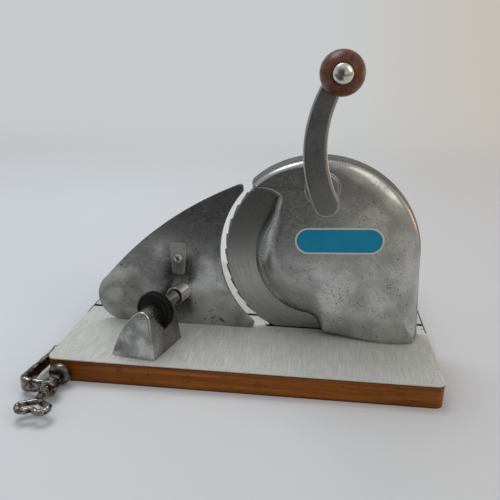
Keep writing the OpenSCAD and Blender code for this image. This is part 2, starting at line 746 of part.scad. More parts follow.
module blade_screws() color("gray")
    at_blade() at_gear_screws() translate([0, 0, -blade_front])
        screw(gear_screw_r, gear_front + blade_front - 0.5, gear_head_r);

// Fence plate: hollow edge round the blade, bowed top edge, round left end, flat foot
fence_low = board_top + fence_lift - blade_z;
fence_r = blade_r + fence_gap;
fence_tip_a = 140;
fence_foot_a = 228.5;
fence_tip_r = 2.6;
fence_tip_turn = fence_tip_a - 20;
fence_toe_r = 3;
fence_toe_in = 1.2;
fence_end = [-fence_reach + fence_end_r, fence_low + fence_end_r];
end_turn = 128;

function fence_outline() =
    let (tip = (fence_r + fence_tip_r) * [cos(fence_tip_a), sin(fence_tip_a)],
        toe = [fence_r * cos(fence_foot_a) - fence_toe_in, fence_low + fence_toe_r],
        shoulder = fence_end + fence_end_r * [cos(end_turn), sin(end_turn)])
    concat(
        arc([0, 0], fence_r, fence_foot_a, fence_tip_a, 30),
        arc(tip, fence_tip_r, fence_tip_a - 90, fence_tip_turn, 5),
        bow(tip + fence_tip_r * [cos(fence_tip_turn), sin(fence_tip_turn)], shoulder, -fence_bulge, 16),
        arc(fence_end, fence_end_r, end_turn, 270, 20),
        arc(toe, fence_toe_r, 270, 380, 8));

module fence_plate() color("darkgray")
    difference() {
        union() {
            translate([blade_x, fence_face_y + fence_t, blade_z]) rotate([90, 0, 0])
                linear_extrude(fence_t) polygon(fence_outline());
            difference() {
                at_spindle() along_y(fence_boss_r, wheel_front - fence_boss_l, wheel_front + fence_t);
                translate([boss_x - 50, fence_face_y + fence_t / 2, fence_z - 50]) cube(100);
            }
        }
        at_spindle() along_y(spindle_r + seat_gap, wheel_front - fence_boss_l - 1, spindle_end);
        at_spindle() along_y(tube_r + tube_room, wheel_front - fence_boss_l - 1, wheel_front - tube_room);
        at_clip_screw() cylinder(r = clip_screw_r + seat_gap, h = fence_t + clip_t - 1);
    }

module fence_spindle() color("silver")
    at_spindle() along_y(spindle_r, spindle_tip, spindle_end - eps);

// The clip is a small plate screwed to the fence above the boss
clip_w = 15;
clip_l = 30;
clip_t = 1.5;
clip_screw_r = 1.8;
clip_z = fence_z + 33;
module at_clip_screw() translate([boss_x - 2, fence_face_y - clip_t, clip_z]) rotate([-90, 0, 0]) children();

module fence_clip() color("gray")
    difference() {
        translate([boss_x - clip_w / 2 - 1.5, fence_face_y - clip_t, clip_z - clip_l / 2])
            cube([clip_w, clip_t, clip_l]);
        at_clip_screw() translate([0, 0, -1]) cylinder(r = clip_screw_r + seat_gap, h = fence_t + 2);
    }

module clip_screw() color("silver")
    at_clip_screw() difference() {
        union() {
            cylinder(r = clip_screw_r, h = fence_t + clip_t - 1.2);
            translate([0, 0, -1.8]) cylinder(r1 = 3.4, r2 = 4, h = 1.8);
        }
        rotate(40) translate([-5, -0.5, -1.8 - eps]) cube([10, 1, 1]);
    }

module thumbwheel() color("black")
    at_spindle() difference() {
        union() {
            along_y(wheel_r - 0.7, -wheel_w / 2, wheel_w / 2);
            along_y(wheel_r, -wheel_w / 2 + 0.8, wheel_w / 2 - 0.8);
        }
        along_y(nut_r + seat_gap, -wheel_w, wheel_w);
    }

module thumbwheel_nut() color("goldenrod")
    at_spindle() difference() {
        along_y(nut_r, -wheel_w / 2, wheel_w / 2);
        along_y(spindle_r + run_gap, -wheel_w, wheel_w);
    }

// Table clamp: a forged bar bent round the board's corner, stowed forwards
bar_x = left_x - bar_gap - bar_t / 2;
bend_x = bar_x - 5;
bend_r = 9;
module clamp_bracket() color("gray")
    difference() {
        union() {
            translate([0, 0, hinge_h - bar_h / 2]) linear_extrude(bar_h) polygon(concat(
                [[bar_x + bar_t / 2, hinge_y], [bar_x - bar_t / 2, hinge_y]],
                arc([bend_x - bar_t / 2 + bend_r, arm_y - bar_t / 2 + bend_r], bend_r, 180, 270, 10),
                [[clamp_x, arm_y - bar_t / 2], [clamp_x, arm_y + bar_t / 2]],
                arc([bend_x - bar_t / 2 + bend_r, arm_y - bar_t / 2 + bend_r], bend_r - bar_t, 270, 180, 6)));
            translate([bar_x - bar_t / 2, hinge_y, hinge_h]) rotate([0, 90, 0])
                cylinder(r = bar_h / 2, h = bar_t);
            translate([bar_x, hinge_y, hinge_h]) rotate([0, 90, 0])
                cylinder(r = hinge_r, h = left_x + hinge_depth - bar_x);
            translate([clamp_x, arm_y, hinge_h]) along_y(clamp_boss_r, -clamp_boss_l / 2, clamp_boss_l / 2);
        }
        translate([clamp_x, arm_y, hinge_h]) along_y(screw_r + run_gap, -clamp_boss_l, clamp_boss_l);
    }

module clamp_pad() color("gray")
    translate([clamp_x, pad_face_y, hinge_h]) rotate([90, 0, 0]) difference() {
        union() {
            cylinder(r = pad_r, h = pad_t / 2);
            translate([0, 0, pad_t / 2]) cylinder(r1 = pad_r, r2 = screw_r + 1, h = pad_t / 2);
        }
        translate([0, 0, pad_t - tip_l]) cylinder(r = tip_r + run_gap, h = tip_l + 1);
        translate([0, 0, -1]) cylinder(r = pad_r - 2, h = 2);
    }

module clamp_spindle() color("gray")
    translate([clamp_x, 0, hinge_h]) {
        along_y(screw_r, neck_y - rod_r, pad_face_y - pad_t - side_gap);
        along_y(tip_r, neck_y, pad_face_y - pad_t + tip_l - side_gap);
    }

// Handle: a heart shaped loop of rod with its point at the screw's end, lying flat
lobe_x = lobe_r + 1;
lobe_y = neck_y - lobe_r - 5.4;
dent_r = rod_r + 0.6;
dent_a = acos(lobe_x / (lobe_r + dent_r));
dent_y = lobe_y - (lobe_r + dent_r) * sin(dent_a);
lobe_path = concat(
    [[0.4, neck_y - rod_r], [2, neck_y - rod_r - 0.8], [5, neck_y - rod_r - 2.4]],
    arc([lobe_x, lobe_y], lobe_r, 35, -180 + dent_a, 14),
    [for (a = [dent_a + 12:12:84]) [0, dent_y] + dent_r * [cos(a), sin(a)]]);
heart = concat(lobe_path, [for (i = [len(lobe_path) - 1:-1:0]) [-lobe_path[i][0], lobe_path[i][1]]]);
rod_sides = 10;

module clamp_handle() color("silver")
    translate([clamp_x, 0, hinge_h]) {
        n = len(heart);
        points = [for (i = [0:n - 1]) let (d = heart[(i + 1) % n] - heart[(i + n - 1) % n], t = d / norm(d))
            for (j = [0:rod_sides - 1]) let (a = 360 * (j + 0.5) / rod_sides)
                [heart[i][0] - rod_r * cos(a) * t[1], heart[i][1] + rod_r * cos(a) * t[0], rod_r * sin(a)]];
        faces = [for (i = [0:n - 1], j = [0:rod_sides - 1])
            let (i2 = (i + 1) % n, j2 = (j + 1) % rod_sides, a = i * rod_sides + j, b = i * rod_sides + j2,
                c = i2 * rod_sides + j2, d = i2 * rod_sides + j)
            each [[a, b, c], [a, c, d]]];
        polyhedron(points, faces, convexity = 6);
    }

base_board();
laminate_top();
side_strips();
strip_screws();
housing();
housing_screws();
badge();
crank_bush();
blade_axle();
axle_washer();
axle_screw();
fence_block();
block_screws();
clamp_ferrule();
crank_arm();
crank_shaft();
crank_pinion();
crank_pin();
crank_washer();
knob_rivet();
knob_washer();
knob();
blade();
blade_gear();
blade_hub();
blade_screws();
fence_plate();
fence_spindle();
fence_clip();
clip_screw();
thumbwheel();
thumbwheel_nut();
clamp_bracket();
clamp_pad();
clamp_spindle();
clamp_handle();
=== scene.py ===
import json
from math import acos, asin, atan2, cos, degrees, hypot, pi, radians, sin, sqrt, tan

import bmesh
import bpy
from mathutils import Matrix, Vector


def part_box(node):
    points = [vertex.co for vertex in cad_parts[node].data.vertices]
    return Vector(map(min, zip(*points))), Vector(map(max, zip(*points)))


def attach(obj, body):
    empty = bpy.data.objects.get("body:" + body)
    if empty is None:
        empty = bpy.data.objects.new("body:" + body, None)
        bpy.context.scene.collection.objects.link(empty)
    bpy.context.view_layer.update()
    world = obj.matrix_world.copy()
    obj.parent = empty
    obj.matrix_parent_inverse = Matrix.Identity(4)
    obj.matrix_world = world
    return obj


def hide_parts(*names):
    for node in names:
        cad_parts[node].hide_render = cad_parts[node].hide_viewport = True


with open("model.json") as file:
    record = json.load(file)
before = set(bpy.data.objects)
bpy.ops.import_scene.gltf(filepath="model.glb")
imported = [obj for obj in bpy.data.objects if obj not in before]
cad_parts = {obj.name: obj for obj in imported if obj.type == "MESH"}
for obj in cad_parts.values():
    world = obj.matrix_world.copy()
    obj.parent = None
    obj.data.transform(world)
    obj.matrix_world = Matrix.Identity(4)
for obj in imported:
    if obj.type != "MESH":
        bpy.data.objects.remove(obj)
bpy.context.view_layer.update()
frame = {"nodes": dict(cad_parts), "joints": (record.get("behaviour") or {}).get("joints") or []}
scene = bpy.context.scene
scene.view_settings.view_transform = "Standard"
mm = 0.001
joints = {j["name"]: j for j in frame["joints"]}


def jointAt(name):
    return Vector(joints[name]["pos_m"])


# a settings dictionary whose values are read as attributes
class Settings(dict):
    __getattr__ = dict.__getitem__


def addObject(name, data):
    obj = bpy.data.objects.new(name, data)
    scene.collection.objects.link(obj)
    return obj


# the camera as fitted to the board's edges and the blade's circle
camera = {"at": (0.0520, -0.5179, 0.2644), "down": 19.32, "left": 6.42, "roll": 0.72, "lens": 40.32}


def makeCamera():
    data = bpy.data.cameras.new("camera")
    data.lens = camera["lens"]
    data.sensor_width = 36
    data.clip_start = 0.01
    obj = addObject("camera", data)
    down, left, roll = (radians(camera[k]) for k in ("down", "left", "roll"))
    ahead = Vector((-sin(left) * cos(down), cos(left) * cos(down), -sin(down)))
    side = Vector((cos(left), sin(left), 0))
    up = side.cross(ahead)
    side, up = cos(roll) * side + sin(roll) * up, cos(roll) * up - sin(roll) * side
    turn = Matrix((side, up, -ahead)).transposed()
    obj.matrix_world = Matrix.Translation(camera["at"]) @ turn.to_4x4()
    scene.camera = obj


makeCamera()
print("camera set")


# a node tree with short ways to add to it
class Net:
    def __init__(self, tree):
        self.tree = tree

    def link(self, source, socket):
        self.tree.links.new(source, socket)

    def fill(self, socket, value):
        if isinstance(value, bpy.types.NodeSocket):
            self.link(value, socket)
        else:
            socket.default_value = value

    def node(self, kind, inputs=None, **settings):
        made = self.tree.nodes.new(kind)
        for key, value in settings.items():
            setattr(made, key, value)
        for key, value in (inputs or {}).items():
            self.fill(made.inputs[key], value)
        return made

    def out(self, kind, inputs=None, **settings):
        return self.node(kind, inputs, **settings).outputs[0]

    def split(self, vector):
        return self.node("ShaderNodeSeparateXYZ", {0: vector}).outputs

    def math(self, operation, a, b=0.0):
        return self.out("ShaderNodeMath", {0: a, 1: b}, operation=operation)

    def plus(self, a, b):
        return self.math("ADD", a, b)

    def minus(self, a, b):
        return self.math("SUBTRACT", a, b)

    def times(self, a, b):
        return self.math("MULTIPLY", a, b)

    def vector(self, operation, a, b=(0, 0, 0)):
        return self.node("ShaderNodeVectorMath", {0: a, 1: b}, operation=operation).outputs

    def noise(self, at, scale, detail=4.0, rough=0.55, stretch=(1, 1, 1)):
        spread = self.out("ShaderNodeMapping", {"Vector": at, "Scale": stretch})
        inputs = {"Vector": spread, "Scale": scale, "Detail": detail, "Roughness": rough}
        return self.out("ShaderNodeTexNoise", inputs)

    def level(self, value, low, high, toLow=0.0, toHigh=1.0):
        inputs = {"Value": value, "From Min": low, "From Max": high, "To Min": toLow, "To Max": toHigh}
        return self.out("ShaderNodeMapRange", inputs, interpolation_type="SMOOTHSTEP")

    def mix(self, fac, a, b):
        a, b = (c if isinstance(c, bpy.types.NodeSocket) else (*c, 1) for c in (a, b))
        return self.node("ShaderNodeMix", {0: fac, 6: a, 7: b}, data_type="RGBA").outputs[2]

    # the tone goes towards a colour, by most where the value reaches high
    def tint(self, value, low, high, most, tone, color):
        return self.mix(self.level(value, low, high, 0.0, most), tone, color)

    def bump(self, shader, height, strength, distance):
        inputs = {"Height": height, "Strength": strength, "Distance": distance}
        self.link(self.out("ShaderNodeBump", inputs), shader.inputs["Normal"])

    def plug(self, shader, **sockets):
        names = {
            "color": "Base Color", "rough": "Roughness", "metal": "Metallic", "shine": "Specular IOR Level",
            "coat": "Coat Weight", "coatRough": "Coat Roughness",
        }
        for key, value in sockets.items():
            self.fill(shader.inputs[names[key]], value)


def newMaterial(name):
    mat = bpy.data.materials.new(name)
    mat.use_nodes = True
    net = Net(mat.node_tree)
    coords = net.node("ShaderNodeTexCoord").outputs["Object"]
    return mat, net, mat.node_tree.nodes["Principled BSDF"], coords


# pits that gather in patches: dark spots, each of its own random size
def pitMask(net, at, scale, size, amount):
    spots = net.node("ShaderNodeTexVoronoi", {"Vector": at, "Scale": scale}).outputs
    chance = net.out("ShaderNodeSeparateColor", {0: spots["Color"]})
    reach = net.times(net.times(chance, chance), size)
    spot = net.level(net.minus(spots["Distance"], reach), 0.03, -0.07)
    patch = net.level(net.noise(at, scale * 0.09, 3.0), 0.62 - amount, 0.74 - amount)
    return net.times(spot, patch)


# 1 inside a soft egg shaped spot at a place given in mm
def markMask(net, at, spot, size, turn=0.0):
    local = net.vector("SUBTRACT", at, Vector(spot) * mm)[0]
    if turn:
        local = net.out("ShaderNodeMapping", {"Vector": local, "Rotation": (0, radians(turn), 0)})
    wide = net.out("ShaderNodeMapping", {"Vector": local, "Scale": [1 / (s * mm) for s in size]})
    return net.level(net.vector("LENGTH", wide)["Value"], 1.0, 0.6, 0.0, 0.9)


# worn metal: two tones in clouds, mottling, scratches and pits; side faces or edges may get painted shade or
# a painted highlight by the way they face
def wornMetal(name, light, dark, rough, pits, scratch, cloud, bump, grain=0.3, sideLight=None, marksAndShade=()):
    mat, net, shader, at = newMaterial(name)
    clouds = net.level(net.noise(at, cloud, 5.0, 0.6), 0.36, 0.64)
    mottle = net.noise(at, 420.0, 5.0, 0.65)
    lines = net.noise(at, 700.0, 2.0, 0.5, scratch)
    tone = net.mix(clouds, dark, light)
    tone = net.tint(mottle, 0.3, 0.7, grain, tone, [c * 0.72 for c in light])
    tone = net.tint(lines, 0.62, 0.72, 0.3, tone, [min(1, c * 1.25) for c in light])
    gloss = net.level(clouds, 0.0, 1.0, rough + 0.10, rough)
    gloss = net.plus(gloss, net.level(mottle, 0.3, 0.7, -0.04, 0.05))
    # painted shade or painted highlight on faces that turn away from the front
    if sideLight:
        facing = net.split(net.node("ShaderNodeTexCoord").outputs["Normal"])[1]
        if sideLight["edges"]:  # the rear face keeps the tone of the front
            facing = net.times(net.math("ABSOLUTE", facing), -1.0)
        wall = net.level(facing, -0.50, -0.14)
        tone = net.mix(wall, tone, sideLight["color"])
        gloss = net.plus(gloss, net.times(wall, sideLight["rough"]))
    small = pitMask(net, at, pits["scale"], 0.62, pits["amount"])
    large = pitMask(net, at, pits["scale"] * 0.45, 0.42, pits["amount"] - 0.03)
    pit = net.math("MAXIMUM", small, large)
    tone = net.mix(net.times(pit, pits["depth"]), tone, pits["color"])
    for place, size, turn, depth, color, sunk in marksAndShade:
        spot = markMask(net, at, place, size, turn)
        tone = net.mix(net.times(spot, depth), tone, color)
        pit = net.math("MAXIMUM", pit, net.times(spot, sunk))
    gloss = net.plus(gloss, net.times(pit, 0.25))
    height = net.minus(net.times(mottle, 0.22), net.times(pit, 0.8))
    net.bump(shader, height, bump, 0.0004)
    net.plug(shader, color=tone, rough=gloss, metal=1.0)
    return mat


castPits = {"scale": 1000.0, "amount": 0.15, "depth": 0.55, "color": (0.10, 0.098, 0.092)}
fencePits = {"scale": 420.0, "amount": 0.03, "depth": 0.65, "color": (0.07, 0.068, 0.062)}
armPits = {"scale": 900.0, "amount": -0.08, "depth": 0.5, "color": (0.14, 0.14, 0.135)}
blockPits = {"scale": 300.0, "amount": -0.02, "depth": 0.6, "color": (0.10, 0.10, 0.095)}
ironPits = {"scale": 330.0, "amount": 0.10, "depth": 0.9, "color": (0.02, 0.017, 0.014)}
steelPits = {"scale": 900.0, "amount": 0.03, "depth": 0.6, "color": (0.12, 0.11, 0.10)}
# painted shade: the housing's side walls darker than its front face
castSideShade = {"color": (0.10, 0.10, 0.097), "rough": 0.18, "edges": False}
# painted highlight: edges and side faces of the fence and arm, front and back alike
edgeHighlight = {"color": (0.90, 0.90, 0.89), "rough": 0.05, "edges": True}

# marks and painted shade: place and size in mm, turn in degrees, share of the tone, tone, how far sunk
fenceMarks = [
    ((-27.0, -46.2, 26.5), (4.8, 4.0, 1.5), -34.0, 0.9, (0.05, 0.046, 0.04), 0.9),
    ((-35.7, -46.2, 92.3), (1.1, 4.0, 1.1), 0.0, 0.6, (0.62, 0.62, 0.60), 0.0),
    ((-63.0, -46.2, 72.0), (8.5, 4.0, 7.5), 0.0, 0.15, (0.10, 0.098, 0.093), 0.0),
]
# painted shade on the block's right flank, where it stands by the fence
blockFlankShade = [((-63.0, -93.0, 34.0), (11.0, 40.0, 34.0), 0.0, 0.6, (0.12, 0.10, 0.082), 0.0)]
screwMiddle = (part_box("clip_screw")[0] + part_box("clip_screw")[1]) / 2 / mm
# painted shade down in the screw's slot
slotShade = [(screwMiddle, (4.6, 9.0, 0.85), -40.0, 1.0, (0.012, 0.011, 0.010), 0.5)]

# metals: name, light and dark tone, roughness, pits, stretch of scratches, clouds, bump, grain, side light
# (painted shade or highlight), marks and painted shade
metals = {
    "housing": ("castAluminium", (0.56, 0.56, 0.545), (0.36, 0.36, 0.35), 0.21, castPits,
                (0.25, 1.0, 0.8), 24.0, 0.22, 0.25, castSideShade),
    "fence": ("fenceAluminium", (0.48, 0.48, 0.465), (0.25, 0.25, 0.243), 0.17, fencePits,
              (0.12, 1.0, 1.0), 34.0, 0.16, 0.2, edgeHighlight, fenceMarks),
    "arm": ("armAluminium", (0.41, 0.41, 0.40), (0.33, 0.33, 0.323), 0.24, armPits,
            (1.0, 1.0, 0.1), 35.0, 0.14, 0.2, edgeHighlight),
    "block": ("blockAluminium", (0.56, 0.56, 0.55), (0.32, 0.32, 0.312), 0.16, blockPits,
              (1.0, 0.15, 1.0), 55.0, 0.10, 0.1, None, blockFlankShade),
    "iron": ("wornNickel", (0.33, 0.305, 0.27), (0.010, 0.008, 0.007), 0.15, ironPits,
             (0.4, 1.0, 0.4), 210.0, 0.5, 0.18),
    "pad": ("padIron", (0.20, 0.185, 0.165), (0.07, 0.063, 0.055), 0.20, ironPits,
            (0.4, 1.0, 0.4), 120.0, 0.25, 0.2),
    "steel": ("turnedSteel", (0.62, 0.61, 0.59), (0.45, 0.44, 0.42), 0.22, steelPits,
              (0.2, 3.0, 0.2), 90.0, 0.15),
    "clip": ("clipAluminium", (0.56, 0.55, 0.53), (0.44, 0.435, 0.42), 0.30, steelPits,
             (1.0, 1.0, 0.12), 70.0, 0.08, 0.12),
    "clipScrew": ("clipScrew", (0.66, 0.65, 0.62), (0.55, 0.54, 0.52), 0.30, steelPits,
                  (0.5, 1.0, 0.5), 160.0, 0.08, 0.1, None, slotShade),
    "zinc": ("zincScrews", (0.58, 0.57, 0.54), (0.36, 0.35, 0.33), 0.30, steelPits,
             (0.5, 1.0, 0.5), 160.0, 0.2),
    "gear": ("gearIron", (0.36, 0.36, 0.35), (0.20, 0.20, 0.195), 0.38, steelPits,
             (0.5, 1.0, 0.5), 60.0, 0.2),
    "bronze": ("bushBronze", (0.56, 0.40, 0.22), (0.36, 0.24, 0.12), 0.26, steelPits,
               (0.3, 2.0, 0.3), 110.0, 0.15),
    "chrome": ("capChrome", (0.82, 0.80, 0.76), (0.68, 0.66, 0.62), 0.10, steelPits,
               (0.5, 1.0, 0.5), 120.0, 0.06),
}
finish = {key: wornMetal(*look) for key, look in metals.items()}


# the blade is ground in circles round its own axis
def groundSteel():
    mat, net, shader, at = newMaterial("groundSteel")
    hub = jointAt("blade_spin")
    part = net.split(net.vector("SUBTRACT", at, hub)[0])
    flat = net.out("ShaderNodeCombineXYZ", {"X": part[0], "Y": part[2]})
    radius = net.vector("LENGTH", flat)["Value"]
    way = net.vector("NORMALIZE", flat)[0]
    ring = net.out("ShaderNodeVectorMath", {0: way, 3: 0.012}, operation="SCALE")
    turn = net.split(ring)
    wrapped = net.out("ShaderNodeCombineXYZ", {"X": turn[0], "Y": turn[1], "Z": radius})
    grind = net.noise(wrapped, 900.0, 5.0, 0.62, (0.16, 0.16, 1.6))
    streak = net.noise(wrapped, 160.0, 3.0, 0.5, (0.5, 0.5, 1.4))
    clouds = net.noise(at, 26.0, 4.0, 0.6)
    tone = net.mix(net.level(grind, 0.3, 0.7), (0.33, 0.325, 0.315), (0.42, 0.415, 0.40))
    tone = net.tint(streak, 0.5, 0.75, 0.25, tone, (0.32, 0.30, 0.27))
    tone = net.tint(clouds, 0.5, 0.72, 0.35, tone, (0.26, 0.25, 0.235))
    pit = pitMask(net, at, 300.0, 0.4, 0.04)
    tone = net.mix(net.times(pit, 0.85), tone, (0.05, 0.045, 0.04))
    height = net.minus(net.times(grind, 0.2), pit)
    net.bump(shader, height, 0.12, 0.0003)
    net.plug(shader, color=tone, rough=net.level(grind, 0.3, 0.7, 0.28, 0.22), metal=1.0)
    return mat


# beech with its grain along the board; dark along the glue line; painted shade at its left end, along its
# bottom edge and down in the groove and the blade slot
groove = {"y": -18.0, "half": 2.6, "deep": 10.0}
boardFront = -125.0
knots = [  # x, z, width and height on the board's front
    (-76.3, 11.2, 1.6, 1.0), (-42.3, 13.1, 1.3, 0.9), (140.0, 5.6, 4.2, 0.6),
    (22.0, 9.0, 1.0, 0.6), (84.0, 14.0, 0.9, 0.6),
]


def beechWood():
    mat, net, shader, at = newMaterial("beechWood")
    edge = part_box("base_board")[1].z
    grain = net.noise(at, 260.0, 6.0, 0.6, (0.035, 0.8, 1.0))
    figure = net.noise(at, 40.0, 4.0, 0.6, (0.10, 0.6, 1.0))
    flecks = net.noise(at, 900.0, 2.0, 0.5, (0.10, 1.0, 1.0))
    tone = net.mix(net.level(grain, 0.32, 0.68), (0.165, 0.044, 0.004), (0.36, 0.118, 0.012))
    tone = net.tint(figure, 0.42, 0.7, 0.55, tone, (0.22, 0.060, 0.005))
    tone = net.tint(flecks, 0.60, 0.68, 0.6, tone, (0.12, 0.036, 0.006))
    stain = net.level(net.noise(at, 55.0, 4.0), 0.60, 0.72, 0.0, 0.6)
    tone = net.mix(stain, tone, (0.13, 0.042, 0.008))
    for x, z, wide, high in knots:
        spot = markMask(net, at, (x, boardFront, z), (wide, 3.0, high))
        tone = net.mix(spot, tone, (0.035, 0.014, 0.006))
    part = net.split(at)
    glue = net.level(part[2], edge - 1.0 * mm, edge - 0.4 * mm, 0.0, 0.9)
    tone = net.mix(glue, tone, (0.030, 0.014, 0.008))
    # painted shade: darker towards the left end
    tone = net.tint(part[0], -0.03, -0.16, 0.45, tone, (0.12, 0.032, 0.003))
    # painted shade along the bottom edge, next to the table
    bottomShade = net.level(part[2], 2.6 * mm, 0.6 * mm, 0.0, 0.7)
    tone = net.mix(bottomShade, tone, (0.045, 0.018, 0.006))
    # painted shade down in the groove and the blade slot, darkest at the bottom
    half = groove["half"] * mm
    fromGroove = net.math("ABSOLUTE", net.minus(part[1], groove["y"] * mm))
    recessShade = net.level(fromGroove, half + 0.4 * mm, half)
    fromBlade = net.math("ABSOLUTE", net.minus(part[1], jointAt("blade_spin").y))
    slot = net.level(fromBlade, 5.2 * mm, 4.8 * mm)
    slot = net.times(slot, net.level(part[2], 2.0 * mm, 4.0 * mm))
    recessShade = net.math("MAXIMUM", recessShade, slot)
    recessShade = net.times(recessShade, net.level(part[2], edge - groove["deep"] * mm, edge - 1.5 * mm, 0.9, 0.75))
    tone = net.mix(recessShade, tone, (0.010, 0.007, 0.005))
    net.bump(shader, grain, 0.12, 0.0004)
    net.plug(shader, color=tone, rough=net.level(grain, 0.3, 0.7, 0.52, 0.40), shine=0.2)
    return mat


# decorative laminate with a printed linen weave: uneven threads both ways
def linenLaminate():
    mat, net, shader, at = newMaterial("linenLaminate")
    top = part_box("laminate_top")[1].z
    threads = []
    for pitch, along in ((1650.0, (1.0, 0.025, 0.0)), (1150.0, (0.025, 1.0, 0.0))):
        thick = net.noise(at, pitch, 1.0, 0.5, along)
        slub = net.noise(at, 150.0, 2.0, 0.5, [0.35 + 0.65 * s for s in along])
        threads.append(net.times(net.level(thick, 0.40, 0.62), net.level(slub, 0.30, 0.60, 0.65, 1.0)))
    cloth = net.math("MAXIMUM", threads[0], net.times(threads[1], 0.65))
    clouds = net.noise(at, 14.0, 3.0)
    tone = net.mix(net.level(clouds, 0.35, 0.65), (0.45, 0.46, 0.435), (0.49, 0.50, 0.475))
    tone = net.mix(net.times(cloth, 0.9), tone, (0.70, 0.71, 0.68))
    spots = pitMask(net, at, 110.0, 0.30, 0.02)
    tone = net.mix(net.times(spots, 0.7), tone, (0.12, 0.10, 0.08))
    high = net.split(at)[2]
    tone = net.tint(high, top - 0.15 * mm, top - 0.35 * mm, 0.85, tone, (0.66, 0.61, 0.53))
    net.bump(shader, cloth, 0.08, 0.0002)
    net.plug(shader, color=tone, rough=net.level(cloth, 0.0, 1.0, 0.42, 0.50))
    return mat


# turned and varnished wood of the knob
def varnishedWood():
    mat, net, shader, at = newMaterial("varnishedWood")
    grain = net.noise(at, 330.0, 6.0, 0.62, (0.9, 0.12, 0.9))
    rings = net.noise(at, 110.0, 3.0, 0.5, (1.0, 0.3, 1.0))
    tone = net.mix(net.level(grain, 0.3, 0.7), (0.058, 0.014, 0.005), (0.165, 0.050, 0.015))
    tone = net.tint(rings, 0.45, 0.7, 0.6, tone, (0.15, 0.043, 0.014))
    pores = net.noise(at, 1300.0, 2.0, 0.5, (1.0, 0.12, 1.0))
    tone = net.tint(pores, 0.62, 0.72, 0.5, tone, (0.06, 0.016, 0.008))
    net.bump(shader, grain, 0.07, 0.0003)
    gloss = net.level(grain, 0.3, 0.7, 0.42, 0.32)
    net.plug(shader, color=tone, rough=gloss, shine=0.25, coat=0.12, coatRough=0.16)
    return mat


# coloured plastics and enamel with fine wear
def moulded(name, base, wear, rough, shine=0.5):
    mat, net, shader, at = newMaterial(name)
    clouds = net.noise(at, 60.0, 5.0, 0.6)
    fine = net.noise(at, 1200.0, 3.0, 0.6)
    tone = net.tint(clouds, 0.35, 0.7, 0.5, base, wear)
    tone = net.tint(fine, 0.60, 0.75, 0.4, tone, wear)
    net.bump(shader, fine, 0.06, 0.0003)
    net.plug(shader, color=tone, rough=net.level(clouds, 0.3, 0.7, rough, rough + 0.12), shine=shine)
    return mat


finish.update({
    "blade": groundSteel(),
    "beech": beechWood(),
    "laminate": linenLaminate(),
    "knob": varnishedWood(),
    "black": moulded("blackPlastic", (0.0035, 0.0035, 0.0035), (0.008, 0.0078, 0.0075), 0.42, 0.25),
    "strip": moulded("blackenedSteel", (0.020, 0.020, 0.021), (0.06, 0.058, 0.055), 0.40),
    "badge": moulded("badgeEnamel", (0.002, 0.24, 0.42), (0.004, 0.27, 0.45), 0.36, 0.3),
    "silver": moulded("badgeSilver", (0.62, 0.61, 0.57), (0.72, 0.71, 0.67), 0.34),
})
print("materials:", len(finish))


# mesh helpers: all shapes are drawn in millimetres and placed by a matrix in metres
def arc(centre, r, start, end, n):
    turns = [radians(start + (end - start) * i / n) for i in range(n + 1)]
    return [(centre[0] + r * cos(a), centre[1] + r * sin(a)) for a in turns]


def mixed(a, b, t):
    return a + (b - a) * t


def ramp(x, x0, x1):
    return min(1.0, max(0.0, (x - x0) / (x1 - x0)))


def polar(r, turn):
    return Vector((r * cos(radians(turn)), r * sin(radians(turn))))


# angles from 0 to a quarter turn in n steps
def quarter(n):
    return [pi / 2 * i / n for i in range(n + 1)]


# a frame with x to the right, y up and z out to the front, turned about z
def outFrame(origin, turn=0.0):
    a = radians(turn)
    across = Vector((cos(a), 0, sin(a)))
    up = Vector((-sin(a), 0, cos(a)))
    turned = Matrix((across, up, Vector((0, -1, 0)))).transposed().to_4x4()
    return Matrix.Translation(origin) @ turned @ Matrix.Scale(mm, 4)


# a frame whose z runs along an axis
def axisFrame(origin, axis):
    turned = Vector(axis).to_track_quat("Z", "Y").to_matrix().to_4x4()
    return Matrix.Translation(origin) @ turned @ Matrix.Scale(mm, 4)


def addRings(bm, rings, place, closed=False, capEnds=True):
    made = [[bm.verts.new(place @ Vector(p)) for p in ring] for ring in rings]
    for low, high in zip(made, made[1:] + made[:1] if closed else made[1:]):
        n = len(low)
        for i in range(n):
            bm.faces.new((low[i], low[(i + 1) % n], high[(i + 1) % n], high[i]))
    if capEnds and not closed:
        bm.faces.new(made[0][::-1])
        bm.faces.new(made[-1])
    return made


# profile is a list of (radius, height); a closed profile makes a ring with a bore
def addLathe(bm, profile, place, steps=72, closed=True):
    turns = [2 * pi * i / steps for i in range(steps)]
    rings = [[(r * cos(a), r * sin(a), h) for a in turns] for r, h in profile if r > 0]
    if closed:
        return addRings(bm, rings, place, closed=True)
    made = addRings(bm, rings, place, capEnds=profile[0][0] > 0)
    if profile[0][0] == 0:
        for ring, h in ((made[0], profile[0][1]), (made[-1], profile[-1][1])):
            pole = bm.verts.new(place @ Vector((0, 0, h)))
            for i in range(steps):
                bm.faces.new((ring[i], ring[(i + 1) % steps], pole))
    return made


# the outline moved inwards by d along its corner bisectors
def inset(outline, d):
    moved = []
    for i, p in enumerate(outline):
        before = (Vector(p) - Vector(outline[i - 1])).normalized()
        after = (Vector(outline[(i + 1) % len(outline)]) - Vector(p)).normalized()
        n1, n2 = Vector((-before.y, before.x)), Vector((-after.y, after.x))
        bisector = (n1 + n2) / max(0.4, 1 + n1.dot(n2))
        moved.append((p[0] + d * bisector.x, p[1] + d * bisector.y))
    return moved


def roundedBox(w, h, r, steps=4):
    x, y = w / 2 - r, h / 2 - r
    corners = [((x, y), 0), ((-x, y), 90), ((-x, -y), 180), ((x, -y), 270)]
    return [p for c, a in corners for p in arc(c, r, a, a + 90, steps)]


